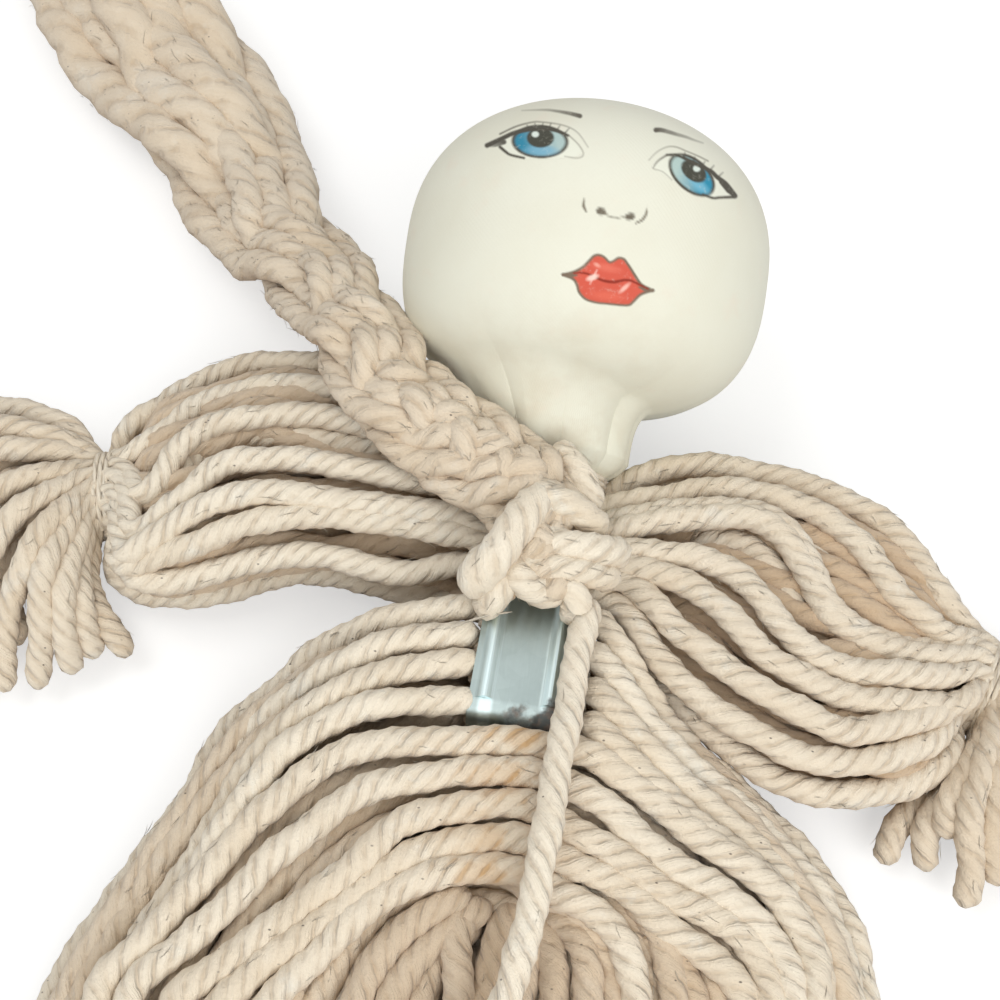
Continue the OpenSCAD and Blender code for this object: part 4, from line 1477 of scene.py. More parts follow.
@dataclass
class FacePrint:
    """Printed face of the doll, drawn in a picture from the viewpoint and laid on the cloth along sight lines."""

    dark: Triple = (78, 74, 64)  # Colour of the drawn lines
    brow: Triple = (92, 86, 74)
    white: Triple = (232, 233, 217)  # Colour of the eyes' whites
    pupil: Triple = (70, 70, 60)
    glint: Triple = (222, 232, 222)  # Colour of the light spots in the eyes
    faint: Triple = (140, 135, 122)  # Colour of the eyes' faint lines
    area: tuple[Pair, Pair] = ((478.0, 100.0), (745.0, 315.0))  # Lowest and highest place of the print in the picture
    # Lines, ovals and patches in the order of printing
    shapes: list[Line | Spot | Patch] = field(default_factory=list)

    def lashes(self, *roots: Triple) -> None:
        """Draw short lashes up from rows of x, y and lean."""
        self.shapes += [Line(((x, y), (x + lean, y - 4.5)), (1.6, 1.3, 1.0), self.dark, (0.9, 0.6))
                        for x, y, lean in roots]

    def left_eye(self) -> None:
        """Draw the eye at the picture's left."""
        lid = ((487, 145.5), (501, 139), (514, 133), (527, 130), (541, 128.5), (557, 131), (568, 135.5))
        white = lid + ((577, 142), (582, 152), (574, 157), (555, 157.5), (524, 158), (508, 152), (497, 147))
        blue, pale = (50, 136, 164), (176, 198, 194)
        self.shapes += [
            Patch(white, self.white, 3.0),
            Spot((540, 141.5), (28.5, 16.8), 2, self.dark),
            Spot((540, 141.5), (25.2, 13.8), 2, blue, 1.0, 2.0, pale, -18),
            Spot((541, 150.5), (15, 4.6), 2, (125, 178, 202), 0.8, 4.0),
            Spot((540.4, 137.8), (13.6, 9.8), 0, self.pupil),
            Spot((535.3, 134.3), (3.6, 2.9), 0, self.glint),
            Line(lid, (4.8, 4.2, 2.6), self.dark),
            Line(((487, 146), (495, 145), (504, 142)), (1.0, 4.2, 5.0), self.dark, (0.5, 1.0)),
            Line(((500, 147), (506, 152), (511, 155), (524, 158)), (3.2, 2.6, 2.4), self.dark),
            Line(((500, 134), (516, 126.5), (531, 122.5), (541, 122), (562, 125), (577, 132), (588, 147)),
                 (1.8, 1.6, 1.2), (105, 100, 88), (0.95, 0.4)),
            Line(((569, 135.5), (578, 144), (583, 152), (582, 156.5), (576, 158), (565, 156.5)),
                 (1.4, 1.4, 1.2), self.faint, (0.7, 0.6)),
        ]
        self.lashes((528, 129.5, -1), (535, 128, 0), (542, 127.5, 1), (549, 128, 2), (557, 130, 3), (565, 133, 4))
        brow = ((522, 110.5), (536, 110), (548, 110), (559, 111.5), (570, 113.5), (580, 116))
        self.shapes.append(Line(brow, (1.2, 2.6, 4.6), self.brow, (0.35, 1.0)))

    def right_eye(self) -> None:
        """Draw the eye at the picture's right."""
        lid = ((667, 155), (676.5, 155), (686, 159), (696, 164), (710.5, 171), (717, 177), (725, 183), (730, 189),
               (735, 196))
        white = ((653, 167), (658, 161)) + lid + ((722, 197), (713, 198), (700, 195), (684, 188), (668, 177))
        blue, pale = (46, 142, 172), (180, 202, 196)
        self.shapes += [
            Patch(white, self.white, 3.0),
            Spot((691.8, 175), (27.5, 16.2), 41, self.dark),
            Spot((691.8, 175), (24.4, 13.2), 41, blue, 1.0, 2.0, pale, 200),
            Spot((699, 185), (12, 4.5), 41, (122, 188, 212), 0.75, 4.0),
            Spot((693.8, 171.2), (14.2, 9.2), 38, self.pupil),
            Spot((696.8, 168.5), (3.6, 3.2), 0, self.glint),
            Line(lid, (2.4, 4.2, 5.2), self.dark),
            Line(((721, 182), (728, 189.5), (734, 196)), (4.0, 5.6, 1.4), self.dark),
            Line(((703, 194.5), (713, 198), (720, 197.5), (734, 197)), (2.2, 2.6, 3.0), self.dark),
            Line(((653, 168), (658, 161), (667, 155)), (1.3, 1.6, 2.0), (110, 105, 94), (0.7, 1.0)),
            Line(((654, 169), (663, 172), (672, 180)), (1.2, 1.2, 1.2), self.faint, (0.6, 0.5)),
            Line(((649, 160), (657, 152), (667, 147), (676, 147), (686, 151), (698, 156), (708, 161)),
                 (1.2, 1.5, 1.5), (120, 114, 100), (0.5, 0.8)),
        ]
        self.lashes((684, 157, 1), (693, 161.5, 2), (702, 166, 3), (710, 170, 4), (718, 177, 5))
        brow = ((656, 130), (661, 130), (669, 132), (677, 134.5), (686, 137), (694, 140), (703, 143))
        self.shapes.append(Line(brow, (5.0, 3.4, 1.4), self.brow, (1.0, 0.35)))

    def nose(self) -> None:
        """Draw the nose."""
        ink = (128, 120, 104)
        self.shapes += [
            Line(((584, 200.5), (583.6, 206), (586, 211)), (1.6, 2.8, 1.6), ink),
            Spot((601, 211.4), (5.0, 3.6), 12, (112, 104, 90)),
            Spot((630, 216.7), (5.2, 3.4), -6, (112, 104, 90)),
            Line(((604, 213), (609, 216), (615.5, 218), (624, 217)), (2.0, 1.2, 1.6), ink, (0.9, 0.7)),
            Line(((647, 209), (646, 214.5), (642, 220), (636, 223)), (1.8, 2.6, 1.6), ink),
        ]

    def mouth(self) -> None:
        """Draw the lips."""
        upper = ((563, 274.7), (573.7, 272), (583, 267), (589, 261), (594, 256), (599, 255), (604, 257),
                 (609.4, 262), (613.5, 261), (618.6, 258), (623.7, 259), (627, 263), (631, 269), (636, 277),
                 (642, 285), (653, 290.5))
        lower = ((653, 290.5), (647, 292), (640, 295), (634, 301), (629, 305), (620, 305), (610, 304), (599, 303),
                 (590, 301), (584, 298), (579, 292), (577, 285), (573, 279), (563, 274.7))
        outline = (122, 106, 90)
        self.shapes += [
            Patch(upper + lower[1:-1], (209, 94, 76)),
            Spot((607, 268), (12, 3.5), 12, (228, 122, 102), 0.6, 4.0),
            Spot((607, 296), (16, 4), 6, (224, 112, 90), 0.6, 4.0),
            Line(upper, (3.0, 2.2, 3.0), outline),
            Line(lower, (3.0, 2.0, 3.0), outline),
            Line(((563, 274.7), (570, 275.5), (577, 275)), (2.0, 4.5, 1.0), outline),
            Line(((653, 290.5), (646, 289.5), (639, 287)), (2.0, 4.5, 1.0), outline),
            Line(((574, 273), (584, 273), (593, 276), (599, 279), (605, 281), (613.5, 282), (620, 281), (625, 280),
                  (632, 281), (642, 286), (648, 289)), (1.6, 3.0, 1.6), (140, 52, 40)),
            Spot((592.5, 277.5), (6, 2.6), -20, (250, 214, 200), 0.85, 2.0),
            Line(((590, 284), (594, 276), (597, 270)), (0.8, 1.8, 0.8), (250, 214, 200), (0.7, 0.7)),
            Spot((624.5, 288), (6.5, 2.0), -42, (248, 200, 184), 0.8, 2.0),
            Spot((597, 265), (3.2, 1.6), 30, (246, 190, 172), 0.6, 2.0),
        ]

    def lay(self, at: Array, shown: Array) -> Array:
        """Print the shapes one over another.

        Args:
            at: Places in the picture of each vertex.
            shown: Whether each vertex faces the viewpoint.

        Returns:
            Red, green, blue and cover for each vertex.
        """
        for draw in (self.left_eye, self.right_eye, self.nose, self.mouth):
            draw()
        ink = np.zeros((len(at), 4))
        low, high = self.area
        pick = np.flatnonzero(shown & (at > low).all(axis=1) & (at < high).all(axis=1))
        spot = at[pick]
        colour, cover = np.zeros((len(pick), 3)), np.zeros(len(pick))
        for shape in self.shapes:
            share = shape.cover(spot)
            tint = shape.tint(spot) if isinstance(shape, Spot) else np.array(srgb(*shape.colour))[None]
            total = share + cover * (1 - share)
            weight = (share / np.maximum(total, 1e-6))[:, None]
            colour = colour * (1 - weight) + tint * weight
            cover = total
        ink[pick, :3], ink[pick, 3] = colour, cover
        return ink


@dataclass
class Head:
    """Stuffed cloth head with a printed face, gathered into a pleated neck.

    The head is turned round a leaning axis: its radius is R x cos(q) and its height H x sin(q), each to the power
    2 / square, with a lower crown and a squarer jaw. The neck's rings run up from the clip, and between the last
    of them and the head each column is a cubic curve that leaves and arrives along both surfaces.
    """

    middle: Triple = (0.0, 65.772, 33.979)  # Middle of the head
    pitch: float = 23.0  # Lean of its axis from Y in degrees
    radius: float = 32.7  # Greatest radius
    crown: float = 26.4  # Height of the crown
    cheek: float = 26.8  # Depth of the cheeks
    square: float = 2.3  # Power of the outline above the middle
    jaw: float = 2.95  # Power of the outline below it
    # Angles below the middle, in degrees, where the neck's join meets the head at the doll's left side and at its
    # front
    join: Pair = (70.0, 50.0)
    smooth: float = 0.9  # How straight the join runs at its front, from 0 to 1
    pleats: int = 11  # Pleats round the neck
    # Rows of y, z, radius and tilt of the neck
    neck_rows: Strand = (
        (20.6, 13.0, 7.6, 0.0), (24.4, 14.0, 7.9, 10.0), (27.0, 15.6, 8.0, 19.0), (29.6, 17.2, 8.2, 23.0),
        (31.2, 18.1, 10.6, 23.0), (33.2, 19.1, 12.2, 23.0),
    )
    tie_middle: Triple = (0.0, 29.3, 17.1)  # Middle of the thread round the neck
    tie_radius: float = 8.7  # Radius of its turns
    tie_tilt: float = 22.0  # Tilt of its turns in degrees

    def columns(self) -> Array:
        """Spread the columns round the axis from the back, close together over the face."""
        return np.radians(np.concatenate([
            np.linspace(-90, 38, 44)[:-1], np.linspace(38, 128, 274)[:-1], np.linspace(128, 270, 49)[:-1],
        ]))

    def frame(self) -> tuple[Array, Array]:
        """Work out the head's axis and its front direction."""
        lean = math.radians(self.pitch)
        return (np.array([0.0, math.cos(lean), math.sin(lean)]), np.array([0.0, -math.sin(lean), math.cos(lean)]))

    def surface(self) -> Array:
        """Work out the rings of the neck, of the join above it and of the head.

        Returns:
            Points, rows by columns by 3, from the clip to the crown.
        """
        turn = self.columns()
        axis, front = self.frame()
        fold = np.abs(np.cos(self.pleats * turn / 2 + 0.8 * np.sin(2 * turn + 1.0))) ** 0.7 - 0.6
        rows = along_curve(self.neck_rows, np.linspace(0, len(self.neck_rows) - 1, 26))
        tilt = np.radians(rows[:, 3:4])
        flat = np.cos(turn) * np.ones_like(tilt)
        lean = np.stack([flat, -np.sin(turn) * np.sin(tilt), np.sin(turn) * np.cos(tilt)], axis=-1)
        place = np.stack([np.zeros(len(rows)), rows[:, 0], rows[:, 1]], axis=-1)
        neck = place[:, None] + (rows[:, 2:3] + 0.8 * fold)[..., None] * lean

        smooth = self.smooth * np.clip(0.75 * np.sin(turn) - 0.8 * np.cos(turn), 0, 1)
        low = self.join[0] + (self.join[1] - self.join[0]) * smooth
        upper = np.concatenate([np.linspace(-44, 42, 236)[1:], np.linspace(42, 89.6, 40)[1:]])
        q = np.radians(np.concatenate([
            np.linspace(-low, -44, 24), np.broadcast_to(upper[:, None], (len(upper), len(turn))),
        ]))
        power = np.where(q > 0, 2 / self.square, 2 / self.jaw)
        reach = self.radius * np.cos(q) ** power
        high = np.where(q > 0, self.crown, self.cheek) * signed_power(np.sin(q), power)
        spoke = np.cos(turn)[:, None] * np.array([1.0, 0.0, 0.0]) + np.sin(turn)[:, None] * front
        ripple = 0.5 * np.clip((-14.0 - high) / 12.0, 0, 1) ** 2 * fold
        head = np.array(self.middle) + (reach + ripple)[..., None] * spoke + high[..., None] * axis

        first, last = neck[-1], head[0]
        far = np.linalg.norm(last - first, axis=1)[:, None]
        share = smooth[:, None]
        leave = far * unit((1 - share) * axis + share * unit(last - first))
        reached = far * unit(head[1] - head[0])
        t = np.linspace(0, 1, 30)[1:-1, None, None]
        join = ((2 * t**3 - 3 * t**2 + 1) * first + (t**3 - 2 * t**2 + t) * leave
                + (3 * t**2 - 2 * t**3) * last + (t**3 - t**2) * reached)
        return np.concatenate([neck, join, head])

    def build(self, studio: Studio, cloth: Material, thread: Material) -> None:
        """Make the head and neck as one cloth, print its face and wind the thread.

        Args:
            studio: Studio that the face is seen from.
            cloth: Finish of the head and neck.
            thread: Finish of the thread.
        """
        grid = self.surface()
        rows, columns = grid.shape[:2]
        quads, caps = tube_faces(rows, columns)
        ends = np.stack([grid[0].mean(axis=0), grid[-1].mean(axis=0)])
        points = np.concatenate([grid.reshape(-1, 3), ends])
        corners = np.concatenate([quads.ravel(), caps.ravel()])
        sizes = np.concatenate([np.full(len(quads), 4), np.full(len(caps), 3)])
        turn = self.columns()
        wide = np.append(turn, turn[0] + 2 * np.pi) * self.radius
        high = run_length(grid[:, 0])
        u = np.stack([wide[:-1], wide[:-1], wide[1:], wide[1:]], axis=-1)
        v = np.stack([high[:-1], high[1:], high[1:], high[:-1]], axis=-1)
        shape = (rows - 1, columns, 4)
        flat = np.stack([np.broadcast_to(u[None], shape), np.broadcast_to(v[:, None], shape)], axis=-1)
        uv = np.concatenate([flat.reshape(-1, 2), np.zeros((caps.size, 2))])
        soil_and_shade = np.clip((44.0 - points[:, 1]) / 16.0, 0, 1) ** 1.5
        obj = make_mesh("head_cloth", points, corners, sizes, uv, {"stain": 0.55 * soil_and_shade})
        normals = np.zeros(len(points) * 3, np.float32)
        obj.data.vertices.foreach_get("normal", normals)
        sight = unit(np.array(studio.eye) - points)
        shown = (normals.reshape(-1, 3) * sight).sum(axis=1) > 0.02
        ink = FacePrint().lay(studio.picture(points), shown)
        layer = obj.data.color_attributes.new("ink", "FLOAT_COLOR", "POINT")
        layer.data.foreach_set("color", ink.astype(np.float32).ravel())
        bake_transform(obj)
        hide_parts("head_cover", "head_stuffing", "neck_gather")
        dress(obj, cloth, Slot.CLOTH)

        tilt = math.radians(self.tie_tilt)
        tie = Winding("neck_windings", 0.55, tone=0.4).build(
            np.array(self.tie_middle), np.array([self.tie_radius, 0.0, 0.0]),
            self.tie_radius * np.array([0.0, -math.sin(tilt), math.cos(tilt)]),
            np.array([0.0, math.cos(tilt), math.sin(tilt)]))
        carry(tie, "neck", thread, Slot.THREAD, "neck_thread")


@dataclass
class Chest:
    """Steel clip, the yarns that it grips, and the yarn across its front where the plait starts."""

    half_width: float = 8.4  # Half the width of the gripped yarns
    y_range: Pair = (-18.0, 21.5)  # Lowest and highest place of the yarns along Y
    z_range: Pair = (3.8, 22.2)  # Lowest and highest place of the yarns
    yarn_d: float = 4.8  # Diameter of a yarn
    body: str = "torso"

    def gripped(self) -> Piece:
        """Make short yarns side by side through the clip.

        Returns:
            The piece.
        """
        rng = np.random.default_rng(51)
        beside, layers, rings = 9, 5, 12
        y, z = np.meshgrid(np.linspace(*self.y_range, beside), np.linspace(*self.z_range, layers))
        x = np.linspace(-self.half_width, self.half_width, rings)
        size = (beside * layers, rings)
        paths = np.stack([np.broadcast_to(v, size) for v in (x, y.reshape(-1, 1), z.reshape(-1, 1))], axis=2)
        yarn = YarnMesh()
        # Painted shade on the yarns inside the clip
        yarn.add(paths, np.full(size, self.yarn_d / 2), rng.uniform(0, 1, len(paths)), shade=0.3, sides=8)
        return yarn.build("gripped_yarns")

    def anchor(self) -> Piece:
        """Make the yarns that cross the front of the clip under the plait's start.

        Returns:
            The piece.
        """
        lines = (
            (6.8, ((1.3, 16.1, 34), (-1.6, 10.8, 37.5), (-4.8, 4.3, 38.4), (-7, 0.2, 37), (-8.8, -1.7, 33.5),
                   (-9.4, -1.4, 29.5))),
            (5.6, ((-5.7, 16.3, 34.5), (-1.4, 13.8, 37), (3.3, 12.2, 37.4), (7, 11.5, 35.5), (8.7, 11.5, 31))),
            (5.4, ((-2, 6.9, 34.5), (2.7, 5, 36.2), (7.7, 5.6, 35.6), (11.5, 7.3, 33), (13.3, 9.1, 28.5))),
            (5.2, ((-2.7, 2.9, 33.5), (2.2, 1.8, 35), (7.3, 2, 34), (10.8, 4.2, 30.5), (11.8, 5.2, 27))),
            (5.4, ((-3.8, 2.1, 34), (-2.1, -1.1, 34.4), (0, -2.4, 32.8), (2.5, -2, 31.8), (4.5, 0.2, 30))),
            (5.2, ((4, 1, 33), (6.4, -0.8, 33), (7.8, -2.2, 31), (7.3, -3.3, 28.5), (5.9, -1.4, 26.5))),
            (5.4, ((-3.6, 0.6, 33.5), (-5.2, -2.1, 33), (-6.6, -3.6, 31), (-7.5, -3.9, 28), (-6.8, -1.7, 26))),
            (0.4, ((-2.8, -4.4, 29.6), (-6.7, -6.1, 30), (-9.9, -7, 29), (-13.3, -7.9, 27.6))),
            (4.6, ((0, 26.1, 32.5), (4.2, 21.3, 34), (6.7, 17.7, 33.5), (8.2, 15.6, 31))),
        )
        yarn = YarnMesh()
        for k, (thick, line) in enumerate(lines):
            yarn.trace((line,), thick, 70 + k, fibres=0.1 * thick)
        return yarn.build("anchor_yarns")

    def build(self, yarn_finish: Material, steel: Material) -> None:
        """Make the yarns and dress the clip.

        Args:
            yarn_finish: Finish of the yarns.
            steel: Finish of the clip.
        """
        for obj, node in ((self.gripped(), "chest_yarn"), (self.anchor(), "plait_anchor")):
            carry(obj, self.body, yarn_finish, Slot.YARN, node)
        clip = bpy.data.objects["steel_clip"]
        clip.data.materials.clear()
        clip.data.materials.append(steel)


RIGHT_LOCK_YARNS: Sequence[Strand] = (
    ((-8.9, -0.7, 22.5), (-15, -2.4, 22.5), (-21.3, -4.1, 22), (-28.7, -6.3, 19), (-34.4, -9, 15),
     (-39.4, -14.6, 12), (-44.5, -19.7, 10), (-48.4, -23.6, 9), (-48.9, -28.3, 8.5), (-50, -34.4, 8),
     (-53.5, -40.8, 7), (-56.5, -47.9, 6.5), (-59.3, -54.9, 6), (-61.6, -61.4, 6), (-63.7, -68.5, 6),
     (-65.5, -106, 6), (-66.5, -148, 6)),
    ((-7.8, -5.7, 23.5), (-14, -7.6, 24), (-20.1, -9.5, 24), (-27.8, -12.8, 22.5), (-33.7, -17, 19.5),
     (-38.8, -21.6, 16.5), (-43.1, -26.7, 14.5), (-44.8, -32.2, 13.5), (-46.8, -38.8, 12.5), (-50, -45.7, 11.5),
     (-53, -52.5, 10.5), (-55.4, -59.2, 10), (-57.4, -66.2, 10), (-60.8, -106, 10), (-61.8, -148, 9)),
    ((-6.9, -11.1, 24), (-13.1, -12.4, 24.3), (-19.1, -14.6, 24.3), (-26.5, -18, 23.5), (-31.9, -22, 22),
     (-36.6, -26.4, 20), (-39.9, -31.1, 18.3), (-41.8, -36.7, 17), (-43.7, -43.3, 16), (-46.5, -50, 15),
     (-49.4, -56.6, 14), (-51.4, -62.7, 13.5), (-56.1, -106, 13), (-57, -148, 12)),
    ((-6.1, -17.8, 24.3), (-11.9, -18.8, 24.5), (-18, -20.1, 24.5), (-24.8, -22, 24), (-30.1, -25.2, 23),
     (-34.5, -29.6, 21.8), (-37.7, -34.3, 20.6), (-40.1, -39.1, 19.5), (-42.2, -45.1, 18.5), (-44, -51.3, 17.5),
     (-46.5, -57.4, 16.5), (-48.8, -63.3, 16), (-51.5, -106, 15.5), (-52.2, -148, 14)),
)
LEFT_LOCK_YARNS: Sequence[Strand] = (
    ((9.6, 1.3, 22.5), (13.8, -3.2, 22.5), (18, -8.3, 21), (21.8, -12.6, 18), (28.2, -16.9, 14), (34.9, -20.2, 11.5),
     (41.5, -24.8, 10), (48.3, -29.8, 8.5), (52.7, -34.1, 7.5), (55.8, -40, 7), (57.8, -45.7, 6.5),
     (58.5, -50.8, 6.5), (65.5, -106, 6), (66.5, -148, 6)),
    ((9.7, -5.2, 23.5), (13.4, -8.9, 23.8), (18.2, -14.3, 22.8), (22.8, -18, 20.5), (28.8, -21.4, 18),
     (35.2, -25.1, 16), (41.3, -29.3, 14.5), (47, -33.4, 13.2), (51, -38.6, 12), (53.9, -44.4, 11.2),
     (55.1, -50.8, 11), (60.8, -106, 10), (61.8, -148, 9)),
    ((10.2, -11.6, 24), (14.1, -15.5, 24.5), (19, -19.8, 23.8), (23.5, -23.1, 22.3), (28.9, -26.3, 20.5),
     (34.8, -29.9, 19), (40.4, -33.6, 17.6), (45.5, -37.8, 16.3), (49.2, -42.9, 15.2), (51.8, -48.9, 14.4),
     (56.1, -106, 13.5), (57, -148, 12)),
    ((10.6, -17.7, 24.3), (14.4, -21.1, 24.8), (19.1, -24.7, 24.2), (24.2, -28.3, 23), (29.8, -31.7, 21.7),
     (35.5, -34.7, 20.4), (41, -37.4, 19.2), (45.7, -41.3, 18), (48.8, -46.7, 17), (50.3, -52.7, 16.3),
     (51.5, -106, 15.5), (52.2, -148, 14)),
)
MIDDLE_YARNS: Sequence[Strand] = (
    ((-2.5, -46.5, 19), (-8.7, -49.8, 19.2), (-12.8, -55.5, 19), (-15.7, -61.6, 18.7), (-16.7, -65.2, 18.5),
     (-23.4, -106, 17.4), (-23.8, -148, 16.3)),
    ((0.5, -47.1, 17.6), (-6, -52.7, 18.2), (-9.4, -58, 18.2), (-12, -63.6, 18), (-18.7, -106, 17.2),
     (-19, -148, 16.3)),
    ((-2.2, -49, 17.4), (-4.2, -52.6, 18.6), (-3, -56.8, 18.8), (-0.8, -61.9, 18.4), (-9.4, -106, 17.2),
     (-9.5, -148, 16.3)),
    ((-0.7, -49, 15.5), (-5.8, -54.3, 16), (-7.1, -59, 16.4), (-7.3, -63.2, 16.4), (-14, -106, 16.6),
     (-14.2, -148, 16)),
    ((4.2, -46.1, 16), (2.6, -50.2, 16.6), (1.6, -55.5, 16.8), (1.7, -61.2, 16.8), (-4.7, -106, 16.8),
     (-4.8, -148, 16)),
    ((7.9, -45.5, 16), (7.9, -50.8, 16.4), (7.2, -56, 16.6), (7.1, -60.3, 16.6), (0, -106, 16.6), (0, -148, 16)),
    ((9.2, -46.8, 17.6), (14, -49.2, 18.6), (16.2, -53.3, 18.8), (17, -59.1, 18.5), (9.4, -106, 17.2),
     (9.5, -148, 16.2)),
    ((8.2, -47.5, 16.5), (10.6, -52.1, 17.2), (11.7, -56.2, 17.4), (12.5, -59.6, 17.2), (4.7, -106, 17),
     (4.8, -148, 16)),
    ((11, -46.2, 15), (17.2, -47.9, 16.4), (19.5, -52.8, 17), (20.4, -58.3, 17), (14, -106, 16.8), (14.2, -148, 16)),
    ((20.4, -42.1, 20), (24.4, -45.4, 19.8), (27.3, -50.6, 19.2), (29.1, -57.2, 18.6), (23.4, -106, 17.4),
     (23.8, -148, 16.2)),
    ((23, -47.1, 17), (27.4, -50.2, 17.6), (30.9, -53.9, 17.6), (32.9, -57.1, 17.4), (28.1, -106, 17.2),
     (28.5, -148, 16.2)),
)
ROW_YARNS: Sequence[Strand] = (
    ((-47.5, -148, 15.5), (-46.8, -106, 16.6), (-53.8, -65.8, 17.2), (-50.2, -62.5, 17.5), (-46.9, -58.1, 18),
     (-43.7, -52.7, 18.8), (-41.1, -47.7, 19.5), (-38.3, -43.3, 20.2), (-34.8, -38.3, 21), (-30.4, -33.2, 22),
     (-25.7, -29.2, 23), (-19.8, -26.9, 24), (-13.7, -26.1, 24.8), (-7.6, -25.3, 25.3), (-1.5, -24.6, 25.6),
     (4.5, -23.8, 25.6), (10.7, -23.6, 25.3), (15.8, -25.5, 24.8), (21.3, -28.9, 24), (27.7, -32.4, 23),
     (34.5, -35.4, 21.8), (40.8, -38.4, 20.5), (45.6, -42.7, 19.3), (48.9, -48.4, 18.3), (46.8, -106, 16.8),
     (47.5, -148, 15.5)),
    ((-42.8, -148, 15.8), (-42.1, -106, 17), (-48.8, -66.7, 18), (-44.8, -62.3, 18.4), (-41.3, -58.5, 18.8),
     (-37.8, -54.1, 19.4), (-34, -48, 20.2), (-29.2, -42.1, 21.2), (-24.1, -36.9, 22.2), (-18.6, -33.2, 23.2),
     (-12.7, -31.4, 24), (-6.8, -29.9, 24.6), (-0.8, -29, 25), (5.2, -28.2, 25), (11.2, -29.7, 24.8),
     (16.3, -31.6, 24.3), (21.6, -36, 23.3), (27.6, -38.6, 22.2), (33.8, -41, 21), (39.7, -43.5, 20),
     (43.7, -48, 19), (46.2, -53.8, 18.2), (42.1, -106, 16.8), (42.8, -148, 15.8)),
    ((-38, -148, 16), (-37.4, -106, 17.2), (-42.4, -67.8, 18.4), (-38.9, -64.5, 18.7), (-35.3, -60.9, 19),
     (-31.5, -57, 19.4), (-26.9, -52.1, 20), (-22.4, -48.7, 20.8), (-19.6, -45, 21.6), (-16.4, -40.2, 22.6),
     (-12, -37.1, 23.4), (-5.9, -35, 24), (-0.1, -33.7, 24.3), (5.1, -33, 24.3), (11.1, -36, 24),
     (16.1, -37.5, 23.6), (21.2, -40.3, 22.6), (25.8, -42.5, 21.6), (31.2, -44, 20.7), (36.5, -45.3, 19.9),
     (40.8, -48.9, 19), (43, -54.3, 18.2), (37.4, -106, 17), (38, -148, 16)),
    ((-33.2, -148, 16.2), (-32.8, -106, 17.3), (-36.1, -66.8, 18.4), (-32, -62.7, 18.6), (-27.8, -58.3, 19),
     (-23.8, -54.4, 19.4), (-19.8, -50.3, 20), (-15.5, -45.6, 20.8), (-11.2, -41.8, 21.6), (-5.8, -40.1, 22.6),
     (0.7, -38.4, 23.3), (4.8, -37.9, 23.4), (10.9, -40.9, 23), (16, -41.2, 22.6), (21, -43.1, 21.8),
     (25.2, -46.3, 20.8), (30.2, -48.8, 20), (35.5, -51.2, 19.2), (39.8, -54.8, 18.4), (32.8, -106, 17.2),
     (33.2, -148, 16.2)),
    ((-28.5, -148, 16.3), (-28.1, -106, 17.4), (-29, -65.7, 18.5), (-25.5, -61.7, 18.7), (-22.4, -58, 19),
     (-19.7, -54.5, 19.6), (-17, -50.6, 20.3), (-12.9, -47.1, 21), (-7.3, -44.6, 21.8), (-1.5, -43.3, 22.5),
     (4.3, -42.4, 22.6), (10, -45.2, 22), (14.8, -45.5, 21.6), (18.7, -48.1, 20.8), (22.1, -52.3, 19.8),
     (23.9, -57.5, 19), (18.7, -106, 17.4), (19, -148, 16.3)),
)
